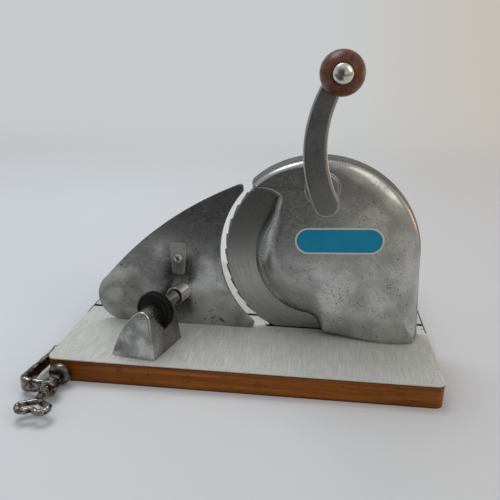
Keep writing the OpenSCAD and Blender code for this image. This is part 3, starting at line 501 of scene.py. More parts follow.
# an outline drawn at levels of (inset, height)
def addLevels(bm, outline, levels, place):
    addRings(bm, [[(x, y, h) for x, y in inset(outline, d)] for d, h in levels], place)


# a flat plate between two heights with rounded edges
def addPlate(bm, outline, low, high, edge, place, steps=4):
    levels = [(edge * (1 - sin(a)), low + edge * (1 - cos(a))) for a in quarter(steps)]
    levels += [(d, low + high - h) for d, h in reversed(levels)]
    addLevels(bm, outline, levels, place)


def plainSolid(bm, name):
    bmesh.ops.recalc_face_normals(bm, faces=bm.faces)
    mesh = bpy.data.meshes.new(name)
    bm.to_mesh(mesh)
    bm.free()
    return mesh


def toPiece(name, bm, look, body, replaces=(), sharp=40):
    dressPiece(name, plainSolid(bm, name), look, body, replaces, sharp)


def dressPiece(name, mesh, look, body, replaces=(), sharp=40):
    obj = addObject(name, mesh)
    mesh.polygons.foreach_set("use_smooth", [True] * len(mesh.polygons))
    mesh.set_sharp_from_angle(angle=radians(sharp))
    weigh = obj.modifiers.new("weigh", "WEIGHTED_NORMAL")
    weigh.keep_sharp = True
    plainMesh(obj)
    obj.data.materials.clear()
    obj.data.materials.append(finish[look])
    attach(obj, body)
    if replaces:
        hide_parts(*replaces)


# the evaluated result becomes the object's own mesh and the modifiers go
def plainMesh(obj):
    bpy.context.view_layer.update()
    graph = bpy.context.evaluated_depsgraph_get()
    done = bpy.data.meshes.new_from_object(obj.evaluated_get(graph), depsgraph=graph)
    obj.modifiers.clear()
    obj.data = done
    done.name = obj.name


def takeMesh(obj):
    mesh = obj.data
    bpy.data.objects.remove(obj)
    return mesh


# a copy of a node's mesh with its doubles merged and its edges eased
def easedCopy(name, node, width, look, body, slot):
    bm = bmesh.new()
    bm.from_mesh(frame["nodes"][node].data)
    bmesh.ops.remove_doubles(bm, verts=bm.verts, dist=2e-6)
    bmesh.ops.dissolve_limit(bm, angle_limit=radians(0.6), verts=bm.verts, edges=bm.edges)
    mesh = bpy.data.meshes.new(name)
    bm.to_mesh(mesh)
    bm.free()
    obj = addObject(name, mesh)
    ease = obj.modifiers.new("ease", "BEVEL")
    ease.width = width * mm
    ease.segments = 2
    ease.limit_method = "ANGLE"
    ease.angle_limit = radians(40)
    plainMesh(obj)
    dressPiece(name, takeMesh(obj), look, body, [node])


# separate solids of a node as boxes
def islandBoxes(node):
    bm = bmesh.new()
    bm.from_mesh(frame["nodes"][node].data)
    bmesh.ops.remove_doubles(bm, verts=bm.verts, dist=2e-6)
    left, boxes = set(bm.verts), []
    while left:
        stack = [left.pop()]
        low, high = stack[0].co.copy(), stack[0].co.copy()
        while stack:
            v = stack.pop()
            low, high = Vector(map(min, low, v.co)), Vector(map(max, high, v.co))
            near = [e.other_vert(v) for e in v.link_edges]
            stack += [w for w in near if w in left]
            left.difference_update(near)
        boxes.append((low, high))
    bm.free()
    return sorted(boxes, key=lambda b: tuple(b[0]))


# housing: a cast shell drawn on rays from the crank shaft to its outline
shell = {
    "rimR": 90.0, "caseR": 55.7, "faceOut": 26.5, "wall": 3.0, "rimRound": 7.0, "sideRound": 13.0,
    "bossR": 14.0, "bossH": 4.0, "boreR": 10.25, "bossRound": 1.2, "footOut": 21.5, "footRun": 58.0,
    "footX": 8.0, "noseA": 131.5, "rimBack": -2.0, "edgeOut": 1.45, "rimDraft": 0.5, "sideDraft": 3.4,
    "sideFlare": 4.6, "noseDrop": 8.0, "noseFlare": 9.0, "footBlend": 30.0, "caseBlend": 34.0,
    "cornerDrop": 4.0, "caseStep": 4.5, "straight": 0.12, "dome": 2.0, "sideLean": 15.0, "widest": 0.92,
    "lipRise": (0.3, 0.9), "lipOut": 18.0, "lipRound": 9.0, "lipWide": 4.1, "noseOut": 10.5,
    "noseRound": 6.5, "sideTurn": (75, 5), "domeTurn": (105, 60), "backRun": (55, 85),
    "caseA": (276.0, 127.0), "caseFlare": (252, 158), "caseSlope": (255, 150), "lipTurn": 175,
    "notch": [(22, -12), (21, -10), (18.5, -8.2), (15, -6.8), (11, -5.8), (7, -5.2), (3.5, -4.4), (1, -2.6)],
}


# each point is (rim, edge, back, height, blend, slope, lean, lip) about the blade axis; lip is (share, width)
def shellOutline(floor):
    s = Settings(shell)
    r, rimEdge, sideEdge = s.rimR, s.faceOut - s.rimRound, s.faceOut - s.sideRound
    points = []
    # rim from the nose to the right side
    for i in range(181):
        a = s.noseA * (1 - i / 180)
        t, tip = ramp(a, *s.sideTurn), ramp(a, s.noseA - 10, s.noseA)
        draft = mixed(s.rimDraft, s.sideDraft, t)
        back = mixed(s.rimBack, s.edgeOut, tip)
        height = mixed(rimEdge, sideEdge, t) - s.noseDrop * tip
        blend = mixed(s.rimRound, s.sideRound, t) * (1 + s.dome * ramp(a, *s.domeTurn))
        points.append((polar(r, a), polar(r - draft, a), back, height, blend, 0, s.sideLean * t, (0, 0)))
    # right side down to the board
    for i in range(1, 28):
        t = i / 28
        p = Vector((r + s.sideFlare * t ** 1.2, t * floor))
        blend = s.sideRound * (1 + s.dome * (1 - 0.55 * t))
        height = sideEdge - s.cornerDrop * t ** 3
        points.append((p, p - Vector((s.sideDraft, 0)), s.rimBack, height, blend, 0, s.sideLean, (0, 0)))
    # foot on the board
    x0, x1 = s.footX, r + s.sideFlare
    for i in range(73):
        x = mixed(x1, x0, i / 72)
        p = Vector((x, floor))
        draft = s.sideDraft * ramp(x, r - 20, x1)
        turn = ramp(x - x0, s.footRun, x1 - x0)
        start = s.edgeOut + 1.5
        height = start + (s.footOut - start) * sin(pi / 2 * ramp(x - x0, 0, s.footRun)) ** 1.4
        height -= (s.footOut - sideEdge + s.cornerDrop) * (1 - sqrt(1 - turn * turn))
        back = mixed(s.edgeOut, s.rimBack, ramp(x, *s.backRun))
        blend = mixed(s.footBlend, s.sideRound * (1 + 0.45 * s.dome), ramp(x, x0, r))
        lean = s.sideLean * draft / s.sideDraft
        points.append((p, p - Vector((draft, 0)), back, height, blend, 0, lean, (0, 0)))
    # gear case from the foot round to the notch
    a0, a1 = s.caseA
    for i in range(1, 150):
        a = mixed(a0, a1, i / 150)
        low, high = ramp(a, s.caseFlare[0], a0) ** 5, ramp(a, s.caseFlare[1], a1) ** 3
        reach = s.caseR + low * (hypot(s.footX, floor) - s.caseR) + high * s.noseFlare
        p = polar(reach, a)
        near = ramp(a, s.lipTurn, a1)
        blend = mixed(s.caseBlend, s.lipRound, near ** 2 * (3 - 2 * near))
        slope = ramp(a, a0, s.caseSlope[0]) * ramp(a, a1, s.caseSlope[1])
        height = s.edgeOut + 2 + s.caseStep * slope + s.noseDrop * high
        points.append((p, p, s.edgeOut, height, blend, slope, 0, (0, 0)))
    # notch at the nose, a smooth curve through its points
    nose, notch = polar(r, s.noseA), [Vector(p) for p in s.notch]
    last = len(notch) - 1
    for i in range(4 * last + 1):
        k = min(i // 4, last - 1)
        t = i / 4 - k
        before, after = notch[max(0, k - 1)], notch[min(last, k + 2)]
        p, q = notch[k], notch[k + 1]
        bend = 2 * p + (q - before) * t + (2 * before - 5 * p + 4 * q - after) * t * t
        bend += (3 * p - before - 3 * q + after) * t ** 3
        along = i / 4 / last
        p = nose + bend / 2
        full = ramp(along, 0, 0.25) * (1 - ramp(along, 0.5, 1) ** 2)
        edge = p + full * Vector(s.lipRise)
        height, blend = mixed(s.noseOut, s.lipOut, full), mixed(s.noseRound, s.lipRound, full)
        lip = (ramp(along, 0, 0.25), s.lipWide * (1 - 0.47 * ramp(along, 0.43, 1)))
        points.append((p, edge, s.edgeOut, height, blend, 0, 0, lip))
    return points


# from 0 at the wall to 1 at the face: a round that starts upright or leaning, or a slope that eases in
def rise(part, slope, lean):
    a, start = radians(lean), shell["straight"]
    c = (1 - part) * cos(a)
    rounded = (sqrt(1 - c * c) - sin(a)) / (1 - sin(a))
    steep = 2 / (1 + start)
    eased = steep * part if part < start else 1 - steep * (1 - part) ** 2 / (2 - 2 * start)
    return mixed(rounded, eased, slope)


def makeHousing():
    s = Settings(shell)
    hub = jointAt("blade_spin")
    shaft = Vector((0, (jointAt("crank_spin").z - hub.z) / mm))
    outline = shellOutline(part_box("housing")[0].z / mm - hub.z / mm)
    n = len(outline)
    inner = s.faceOut - s.wall
    bends, corner, rings = [1 - cos(a) for a in quarter(18)[:0:-1]], quarter(4), []
    for k, (rim, edge, back, height, blend, slope, lean, lip) in enumerate(outline):
        along = (outline[(k + 1) % n][0] - outline[k - 1][0]).normalized()
        inward = s.wall * Vector((along.y, -along.x))
        edgeIn, heightIn = edge + inward, max(back + 0.5, height - s.wall / 2)
        out, outIn = (edge - shaft).normalized(), (edgeIn - shaft).normalized()
        reach, reachIn = (edge - shaft).length, (edgeIn - shaft).length
        width = min(blend, s.widest * (reach - s.bossR - s.bossRound))
        widthIn = min(blend, s.widest * (reachIn - s.bossR - s.bossRound))
        start = mixed(edge - width * out, edge + lip[1] * inward / s.wall, lip[0])
        out, flat = (start - shaft).normalized(), (start - shaft).length
        ring = [(shaft + s.boreR * out, s.faceOut + s.bossH)]
        for a in corner:
            r = s.bossR - s.bossRound * (1 - sin(a))
            ring.append((shaft + r * out, s.faceOut + s.bossH - s.bossRound * (1 - cos(a))))
        for a in corner:
            r = s.bossR + s.bossRound * (1 - cos(a))
            ring.append((shaft + r * out, s.faceOut + s.bossRound * (1 - sin(a))))
        for part in (0.2, 0.4, 0.6, 0.8):
            ring.append((shaft + mixed(s.bossR + s.bossRound, flat, part) * out, s.faceOut))
        for part in bends:
            ring.append((mixed(edge, start, part), mixed(height, s.faceOut, rise(part, slope, lean))))
        ring += [(edge, height), (rim, back), (rim + inward, back), (edgeIn, heightIn)]
        for part in reversed(bends):
            high = mixed(heightIn, inner, rise(part, slope, lean))
            ring.append((shaft + (reachIn - part * widthIn) * outIn, high))
        ring += [(shaft + (s.boreR + s.bossRound) * outIn, inner), (shaft + s.boreR * out, inner)]
        rings.append([(p.x, p.y, h) for p, h in ring])
    bm = bmesh.new()
    addRings(bm, rings, outFrame(hub), closed=True)
    toPiece("housing.shell", bm, "housing", "base", ["housing"], 50)


makeHousing()
print("housing made")


# badge: a silver tray with a blue field, left blank
badge = {
    "length": 74.5, "height": 23.2, "thick": 0.8, "border": 1.5, "tilt": 2.5, "edge": 0.2, "fieldLow": 0.4,
    "fieldSunk": 0.08, "fieldEdge": 0.1,
}


def stadium(length, height):
    side = (length - height) / 2
    return arc((side, 0), height / 2, -90, 90, 24) + arc((-side, 0), height / 2, 90, 270, 24)


def makeBadge():
    b = Settings(badge)
    low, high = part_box("badge")
    middle = (low + high) / 2
    place = outFrame(Vector((middle.x, high.y, middle.z)), b.tilt)
    outline = stadium(b.length, b.height)
    t, e = b.thick, b.edge
    levels = [(0, 0), (0, t - e), (e, t), (b.border - 0.15, t), (b.border, t - e)]
    bm = bmesh.new()
    addLevels(bm, outline, levels, place)
    toPiece("badge.tray", bm, "silver", "base", ["badge"], 30)
    bm = bmesh.new()
    addPlate(bm, inset(outline, b.border), b.fieldLow, t - b.fieldSunk, b.fieldEdge, place, 2)
    toPiece("badge.field", bm, "badge", "base")


makeBadge()


# crank arm: a curved bar with rounded edges that narrows towards the knob
crank = {
    "curve": 99.0, "wide": 20.6, "tip": 15.4, "thick": 8.0, "past": 0.09, "edge": 2.6, "hubEdge": 0.8,
    "boreR": 6.05,
}


def armOutline(throw):
    c = Settings(crank)
    half = degrees(asin(throw / 2 / c.curve))
    centre = Vector((c.curve * cos(radians(half)), throw / 2))

    def along(t, side):
        r = c.curve + side * mixed(c.wide, c.tip, t) / 2
        return centre + polar(r, 180 + half - 2 * half * t)

    past, n = c.past, 40
    low = (along(-past, 1) + along(-past, -1)) / 2
    high = (along(1, 1) + along(1, -1)) / 2
    lowTurn = half * (1 + 2 * past)
    outline = [along(mixed(-past, 1, i / n), 1) for i in range(n)]
    outline += arc(high, c.tip / 2, 180 - half, -half, 24)
    outline += [along(mixed(1, -past, i / n), -1) for i in range(1, n)]
    outline += arc(low, (along(-past, 1) - low).length, lowTurn, lowTurn - 180, 28)[:-1]
    return [tuple(p) for p in reversed(outline)]


def makeCrank():
    c = Settings(crank)
    shaft, knob = jointAt("crank_spin"), jointAt("knob_spin")
    lean = degrees(atan2(knob.x - shaft.x, knob.z - shaft.z))
    throw = hypot(knob.x - shaft.x, knob.z - shaft.z) / mm
    low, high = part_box("crank_arm")
    place = outFrame(Vector((shaft.x, high.y, shaft.z)), -lean)
    deep = (high.y - low.y) / mm
    bm = bmesh.new()
    addPlate(bm, armOutline(throw), deep - c.thick, deep, c.edge, place, 6)
    r, top = c.wide / 2 - 1, deep - c.thick + 1
    hub = [(c.boreR, 0), (r - c.hubEdge, 0), (r, c.hubEdge), (r, top), (c.boreR, top)]
    addLathe(bm, hub, place)
    toPiece("crank.arm", bm, "arm", "crank", ["crank_arm"], 50)


makeCrank()


# knob with its domed rivet
knobShape = {
    "ball": 16.0, "flat": 15.0, "bore": 4.06, "rim": 0.5, "rimSunk": 0.35, "cap": 7.0, "capEdge": 0.3,
    "dome": 4.13, "domeLift": 0.5, "rivet": 4.0, "head": 5.5, "headEdge": 0.7, "headThick": 1.5,
}


def makeKnob():
    k = Settings(knobShape)
    low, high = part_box("knob")
    at = jointAt("knob_spin")
    place = outFrame(Vector((at.x, high.y, at.z)))
    seat = (high.y - low.y) / mm
    start = degrees(asin(-k.flat / k.ball))
    end = degrees(asin((seat - k.flat) / k.ball))
    ball = arc((0, k.flat), k.ball, start, end, 40)
    end = seat - k.rimSunk
    profile = [(k.bore, 0)] + ball + [(ball[-1][0] - k.rim, end), (k.bore, end)]
    bm = bmesh.new()
    addLathe(bm, profile, place, 96)
    toPiece("knob.ball", bm, "knob", "knob", ["knob"], 55)
    low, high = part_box("knob_rivet")
    place = outFrame(Vector((at.x, high.y, at.z)))
    tall = (high.y - low.y) / mm
    foot = tall - k.dome
    lift = k.domeLift
    dome = [(k.cap * cos(a), foot + lift + (k.dome - lift) * sin(a)) for a in quarter(14)]
    profile = [(0, 0), (k.head - k.headEdge, 0), (k.head, k.headEdge), (k.head, k.headThick)]
    profile += [(k.rivet, k.headThick), (k.rivet, foot), (k.cap - k.capEdge, foot)] + dome[:-1] + [(0, tall)]
    bm = bmesh.new()
    addLathe(bm, profile, place, 64, closed=False)
    toPiece("knob.cap", bm, "chrome", "crank", ["knob_rivet"], 40)


makeKnob()
print("crank and knob made")


# fence plate: hollow edge round the blade, bowed top edge, round left end, flat foot
fence = {
    "thick": 4.0, "hollow": 89.4, "tipA": 140.0, "footA": 228.5, "tipR": 2.6, "toeR": 3.0, "toeIn": 1.2,
    "reach": 205.0, "endR": 24.0, "endTurn": 128.0, "bulge": 9.2, "edge": 1.0, "bossR": 8.5,
    "bossStart": 33.0, "bossLong": 20.0, "boreR": 6.7, "boreDeep": 12.5, "holeR": 4.55,
}


def fenceOutline(low):
    f = Settings(fence)
    tip = polar(f.hollow + f.tipR, f.tipA)
    toe = (polar(f.hollow, f.footA).x - f.toeIn, low + f.toeR)
    end = Vector((-f.reach + f.endR, low + f.endR))
    start, stop = tip + polar(f.tipR, f.tipA - 20), end + polar(f.endR, f.endTurn)
    way = stop - start
    side = Vector((way.y, -way.x)).normalized()
    points = arc((0, 0), f.hollow, f.footA, f.tipA, 70)
    points += arc(tip, f.tipR, f.tipA - 90, f.tipA - 20, 10)[1:]
    points += [start + t * way + 4 * f.bulge * t * (1 - t) * side for t in (i / 40 for i in range(1, 40))]
    points += arc(end, f.endR, f.endTurn, 270, 40)
    points += arc(toe, f.toeR, 270, 380, 14)
    return [tuple(p) for p in reversed(points)]


def makeFence():
    f = Settings(fence)
    hub = jointAt("blade_spin")
    low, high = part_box("fence_plate")
    place = outFrame(Vector((hub.x, high.y, hub.z)))
    bm = bmesh.new()
    addPlate(bm, fenceOutline((low.z - hub.z) / mm), 0, f.thick, f.edge, place, 5)
    axis = Vector(joints["fence_slide"]["axis"])
    start, r, bore = f.bossStart, f.bossR, f.boreR
    floor, end = start + f.boreDeep, start + f.bossLong
    profile = [(f.holeR, floor), (bore, floor), (bore, start + 0.4), (bore + 0.35, start), (r - 0.6, start),
               (r - 0.18, start + 0.2), (r, start + 0.7), (r, end), (f.holeR, end)]
    rings = addLathe(bm, profile, axisFrame(jointAt("thumbwheel_turn"), axis), 64)
    middle = high.y - f.thick * mm / 2
    for v in (v for ring in rings[-2:] for v in ring):
        v.co -= axis * ((v.co.y - middle) / axis.y)
    toPiece("fence.plate", bm, "fence", "fence", ["fence_plate"], 45)


makeFence()


# spring clip that narrows downwards, held by a domed screw with a slot
clip = {
    "narrowL": 1.2, "narrowR": 2.6, "corner": 1.8, "topCorner": 0.8, "edge": 0.45, "shank": 1.75,
    "head": 4.0, "lift": 0.3, "dome": 1.7, "slotW": 1.3, "slotDeep": 1.5, "slotTurn": -40.0,
}


def makeClip():
    c = Settings(clip)
    low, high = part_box("fence_clip")
    place = outFrame(Vector(((low.x + high.x) / 2, high.y, (low.z + high.z) / 2)))
    w, h, r, t = (high.x - low.x) / mm / 2, (high.z - low.z) / mm / 2, c.corner, c.topCorner
    outline = arc((-w + c.narrowL + r, -h + r), r, 180, 270, 6)
    outline += arc((w - c.narrowR - r, -h + r), r, 270, 360, 6)
    outline += arc((w - t, h - t), t, 0, 90, 4) + arc((-w + t, h - t), t, 90, 180, 4)
    bm = bmesh.new()
    addPlate(bm, outline, 0, (high.y - low.y) / mm, c.edge, place, 3)
    toPiece("fence.clip", bm, "clip", "fence", ["fence_clip"], 50)
    start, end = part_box("clip_screw")
    seat = (end.y - low.y) / mm
    place = outFrame(Vector(((start.x + end.x) / 2, end.y, (start.z + end.z) / 2)))
    top = seat + c.lift + c.dome
    dome = [(c.head * cos(a), seat + c.lift + c.dome * sin(a)) for a in quarter(10)[:-1]]
    profile = [(0, 0), (c.shank, 0), (c.shank, seat), (c.head, seat)] + dome + [(0, top)]
    bm = bmesh.new()
    addLathe(bm, profile, place, 48, closed=False)
    obj = tempObject(bm, "screwSolid")
    slot = roundedBox(3 * c.head, c.slotW, 0.05, 1)
    bm = bmesh.new()
    turned = place @ Matrix.Rotation(radians(c.slotTurn), 4, "Z")
    addRings(bm, [[(x, y, z) for x, y in slot] for z in (top - c.slotDeep, top + 1)], turned)
    cutOut(obj, tempObject(bm, "cutter"))
    dressPiece("fence.clipScrew", takeMesh(obj), "clipScrew", "fence", ["clip_screw"], 35)


# fence block: an arch shaped casting with a slot for the thumbwheel
block = {
    "front": 27.0, "rear": 20.0, "left": 27.0, "right": 13.0, "ridge": 7.5, "flankA": 125.0, "bulge": 16.0,
    "lean": 5.0, "bow": 1.6, "turn": 6.0, "edge": 1.3, "slotR": 18.0, "slotW": 7.6, "boreR": 4.56,
    "boreStart": -20.3, "tubeR": 6.2, "tubeEnd": 32.0,
}


def cutOut(obj, cutter):
    cut = obj.modifiers.new("cut", "BOOLEAN")
    cut.object = cutter
    cut.solver = "EXACT"
    plainMesh(obj)
    bpy.data.objects.remove(cutter)


def tempObject(bm, name):
    return addObject(name, plainSolid(bm, name))


def makeBlock():
    b = Settings(block)
    wheel = jointAt("thumbwheel_turn")
    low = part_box("fence_block")[0].z
    tall = (wheel.z - low) / mm
    axis = Vector(joints["thumbwheel_turn"]["axis"])
    across = axis.cross(Vector((0, 0, 1)))
    turned = Matrix((across, Vector((0, 0, 1)), -axis)).transposed().to_4x4()
    place = Matrix.Translation(wheel) @ turned @ Matrix.Scale(mm, 4)
    top = polar(b.ridge, b.flankA)
    bend = top + b.bulge * polar(1, b.flankA + 90)
    foot = Vector((-b.left, -tall))
    parts = [i / 24 for i in range(1, 25)]
    flank = [(1 - t) ** 2 * top + 2 * t * (1 - t) * bend + t * t * foot for t in parts]
    outline = arc((0, 0), b.ridge, 0, b.flankA, 30) + [tuple(p) for p in flank]
    outline += [(mixed(-b.left, b.right, i / 10), -tall) for i in range(1, 11)]
    outline += [(mixed(b.right, b.ridge, i / 12), mixed(-tall, 0, i / 12)) for i in range(1, 12)]
    e, turns, rings = b.edge, quarter(5), []
    for ends, sign in ((turns, 1), (turns[::-1], -1)):
        for a in ends:
            ring = []
            moved = inset(outline, e * (1 - sin(a)))
            for (x, z), start in zip(moved, outline):
                z = -tall if start[1] <= -tall + 0.01 else z
                up = (z + tall) / (tall + b.ridge + 1)
                fromMiddle = (2 * x + b.left - b.right) / (b.left + b.right)
                bow = b.bow * (1 - up) * (1 - fromMiddle ** 2)
                end = b.front - b.lean * up + bow if sign > 0 else -b.rear + up
                end -= x * tan(radians(b.turn))
                ring.append((x, z, end - sign * e * (1 - cos(a))))
            rings.append(ring)
    bm = bmesh.new()
    addRings(bm, rings, place)
    obj = tempObject(bm, "blockSolid")
    along = axisFrame(wheel, axis)
    slot, bore = (b.slotR, -b.slotW / 2, b.slotW / 2), (b.boreR, b.boreStart, b.rear + 2)
    for r, start, stop in (slot, bore):
        bm = bmesh.new()
        addLathe(bm, [(r, start), (r, stop)], along, 96, closed=False)
        cutOut(obj, tempObject(bm, "cutter"))
    bm = bmesh.new()
    bm.from_mesh(takeMesh(obj))
    bore, r, root, end = b.boreR, b.tubeR, b.rear - 3, b.tubeEnd
    addLathe(bm, [(bore, root), (r, root), (r, end - 0.5), (r - 0.5, end), (bore, end)], along)
    toPiece("fence.block", bm, "block", "base", ["fence_block"], 35)


makeBlock()
makeClip()
print("fence and block made")


# helpers for the pieces that Geometry Nodes make
def newTree(name, sizes):
    tree = bpy.data.node_groups.new(name, "GeometryNodeTree")
    tree.is_modifier = True

    def socket(label, kind, way="INPUT"):
        return tree.interface.new_socket(label, in_out=way, socket_type="NodeSocket" + kind)

    socket("Geometry", "Geometry")
    for label, value in sizes.items():
        socket(label, {int: "Int", float: "Float", tuple: "Vector"}[type(value)]).default_value = value
    socket("Material", "Material")
    socket("Geometry", "Geometry", "OUTPUT")
    net = Net(tree)
    return net, net.node("NodeGroupInput").outputs


def endTree(net, geometry, size):
    whole = net.out("GeometryNodeRealizeInstances", {0: geometry})
    painted = net.out("GeometryNodeSetMaterial", {"Geometry": whole, "Material": size["Material"]})
    net.link(painted, net.node("NodeGroupOutput").inputs[0])
    return net.tree


# runs a tree on a mesh and hands back the plain result
def runTree(tree, look, sizes, mesh=None):
    obj = addObject(tree.name, bpy.data.meshes.new(tree.name) if mesh is None else mesh)
    made = obj.modifiers.new("make", "NODES")
    made.node_group = tree
    ids = {s.name: s.identifier for s in tree.interface.items_tree if s.in_out == "INPUT"}
    for label, value in {**sizes, "Material": finish[look]}.items():
        made[ids[label]] = value
    plainMesh(obj)
    return takeMesh(obj)


# blade: a grid wrapped into a toothed ring, its rim rising at each step and falling to the next
bladeSizes = {
    "Teeth": 36, "Points": 10, "Tip Radius": 0.085, "Step": 0.0015, "Bore": 0.01105, "Thickness": 0.0015,
    "Ground Width": 0.0026, "Edge Thickness": 0.0005,
}


def bladeTree():
    net, size = newTree("toothedBlade", bladeSizes)
    stations = 7
    count = net.plus(net.times(size["Teeth"], size["Points"]), 1)
    sides = {"Size X": 1.0, "Size Y": 1.0, "Vertices X": count, "Vertices Y": stations}
    grid = net.out("GeometryNodeMeshGrid", sides)
    index = net.out("GeometryNodeInputIndex")
    column = net.math("FLOOR", net.math("DIVIDE", net.plus(index, 0.5), stations))
    station = net.minus(index, net.times(column, stations))
    tooth = net.math("FRACT", net.math("DIVIDE", net.plus(column, 0.02), size["Points"]))
    fall = net.times(tooth, size["Step"])
    rim = net.minus(size["Tip Radius"], fall)
    ground = net.minus(size["Tip Radius"], size["Ground Width"])
    half = net.times(size["Thickness"], 0.5)
    thin = net.minus(size["Edge Thickness"], half)
    rear = net.times(half, -1.0)
    radii = [size["Bore"], ground, rim, rim, ground, size["Bore"], size["Bore"]]
    heights = [half, half, thin, rear, rear, rear, half]
    picks = []
    for values in (radii, heights):
        pick = net.node("GeometryNodeIndexSwitch", data_type="FLOAT")
        while len(pick.index_switch_items) < stations:
            pick.index_switch_items.new()
        net.link(station, pick.inputs[0])
        for i, value in enumerate(values):
            net.link(value, pick.inputs[i + 1])
        picks.append(pick.outputs[0])
    turn = net.times(net.math("DIVIDE", column, net.minus(count, 1)), 2 * pi)
    x = net.times(picks[0], net.math("COSINE", turn))
    y = net.times(picks[0], net.math("SINE", turn))
    spot = net.out("ShaderNodeCombineXYZ", {0: x, 1: y, 2: picks[1]})
    moved = net.out("GeometryNodeSetPosition", {"Geometry": grid, "Position": spot})
    closed = net.out("GeometryNodeMergeByDistance", {"Geometry": moved, "Distance": 0.00001})
    return endTree(net, closed, size)


def makeBlade():
    bm = bmesh.new()
    bm.from_mesh(runTree(bladeTree(), "blade", bladeSizes))
    place = outFrame(jointAt("blade_spin")) @ Matrix.Scale(1 / mm, 4)
    bmesh.ops.transform(bm, matrix=place, verts=bm.verts)
    toPiece("blade.disc", bm, "blade", "blade", ["blade"], 12)


makeBlade()


# thumbwheel: a moulded ring with a ribbed rim
wheel = {
    "radius": 16.6, "width": 7.0, "bore": 7.55, "edge": 0.9, "dish": 0.8, "dishEnds": (5.0, 1.8),
    "slope": 0.6,
}
ribSizes = {"Ribs": 84, "Radius": 0.01658, "Rib Radius": 0.00042, "Rib Length": 0.0054}


def ribTree():
    net, size = newTree("rimRibs", ribSizes)
    ring = net.out("GeometryNodeMeshCircle", {"Vertices": size["Ribs"], "Radius": size["Radius"]})
    bar = {"Vertices": 8, "Radius": size["Rib Radius"], "Depth": size["Rib Length"]}
    inputs = {"Points": ring, "Instance": net.out("GeometryNodeMeshCylinder", bar)}
    placed = net.out("GeometryNodeInstanceOnPoints", inputs)
    return endTree(net, placed, size)


def makeWheel():
    w = Settings(wheel)
    place = axisFrame(jointAt("thumbwheel_turn"), joints["thumbwheel_turn"]["axis"])
    h, r, e = w.width / 2, w.radius, w.edge
    start, end, low = r - w.dishEnds[0], r - w.dishEnds[1], -h + w.dish
    side = [(w.bore, -h), (start, -h), (start + w.slope, low), (end - w.slope, low), (end, -h)]
    side += [(r - e + e * sin(a), -h + e - e * cos(a)) for a in quarter(5)]
    profile = side + [(x, -y) for x, y in reversed(side)]
    bm = bmesh.new()
    addLathe(bm, profile, place, 96)
    toPiece("thumbwheel.ring", bm, "black", "thumbwheel", ["thumbwheel"], 40)
    mesh = runTree(ribTree(), "black", ribSizes)
    mesh.transform(place @ Matrix.Scale(1 / mm, 4))
    dressPiece("thumbwheel.ribs", mesh, "black", "thumbwheel", (), 50)


makeWheel()
print("blade and thumbwheel made")


# slotted screws on points that carry an aim, each turned at random from a fixed seed
screwSizes = {
    "Head Radius": 0.004, "Shank Radius": 0.002, "Length": 0.02, "Slot Width": 0.0008, "Slot Depth": 0.0009,
    "Seed": 7,
}


def screwTree():
    net, size = newTree("slottedScrews", screwSizes)
    deep = net.minus(size["Head Radius"], size["Shank Radius"])
    cone = {"Vertices": 40, "Radius Bottom": size["Head Radius"], "Radius Top": size["Shank Radius"],
            "Depth": deep}
    head = net.out("GeometryNodeMeshCone", cone)
    wide = net.times(size["Head Radius"], 2.2)
    tall = net.times(size["Slot Depth"], 2)
    slotSize = net.out("ShaderNodeCombineXYZ", {0: wide, 1: size["Slot Width"], 2: tall})
    slot = net.out("GeometryNodeMeshCube", {"Size": slotSize})
    cut = net.node("GeometryNodeMeshBoolean", operation="DIFFERENCE")
    net.link(head, cut.inputs["Mesh 1"])
    net.link(slot, cut.inputs["Mesh 2"])
    rest = net.minus(size["Length"], deep)
    stem = {"Vertices": 24, "Radius": size["Shank Radius"], "Depth": rest}
    shank = net.out("GeometryNodeMeshCylinder", stem)
    up = net.out("ShaderNodeCombineXYZ", {2: net.plus(deep, net.times(rest, 0.5))})
    shank = net.out("GeometryNodeTransform", {"Geometry": shank, "Translation": up})
    join = net.node("GeometryNodeJoinGeometry")
    net.link(cut.outputs[0], join.inputs[0])
    net.link(shank, join.inputs[0])
    aim = net.out("GeometryNodeInputNamedAttribute", {"Name": "aim"}, data_type="FLOAT_VECTOR")
    face = net.out("FunctionNodeAlignRotationToVector", {"Vector": aim}, axis="Z")
    limits = {2: -1.4, 3: 1.4, "Seed": size["Seed"]}
    spin = net.node("FunctionNodeRandomValue", limits, data_type="FLOAT").outputs[1]
    twist = net.out("FunctionNodeAxisAngleToRotation", {"Axis": (0, 0, 1), "Angle": spin})
    turned = net.out("FunctionNodeRotateRotation", {0: face, 1: twist}, rotation_space="LOCAL")
    inputs = {"Points": size["Geometry"], "Instance": join.outputs[0], "Rotation": turned}
    placed = net.out("GeometryNodeInstanceOnPoints", inputs)
    return endTree(net, placed, size)


screwRows = [
    {"node": "strip_screws", "body": "base", "axis": 0, "head": 2.6, "shank": 1.6, "slot": 0.6},
    {"node": "housing_screws", "body": "base", "axis": 2, "head": 4.0, "shank": 2.0, "slot": 0.9},
    {"node": "block_screws", "body": "base", "axis": 2, "head": 4.5, "shank": 2.5, "slot": 1.0},
    {"node": "blade_screws", "body": "blade", "axis": 1, "head": 3.3, "shank": 2.0, "slot": 0.7},
]


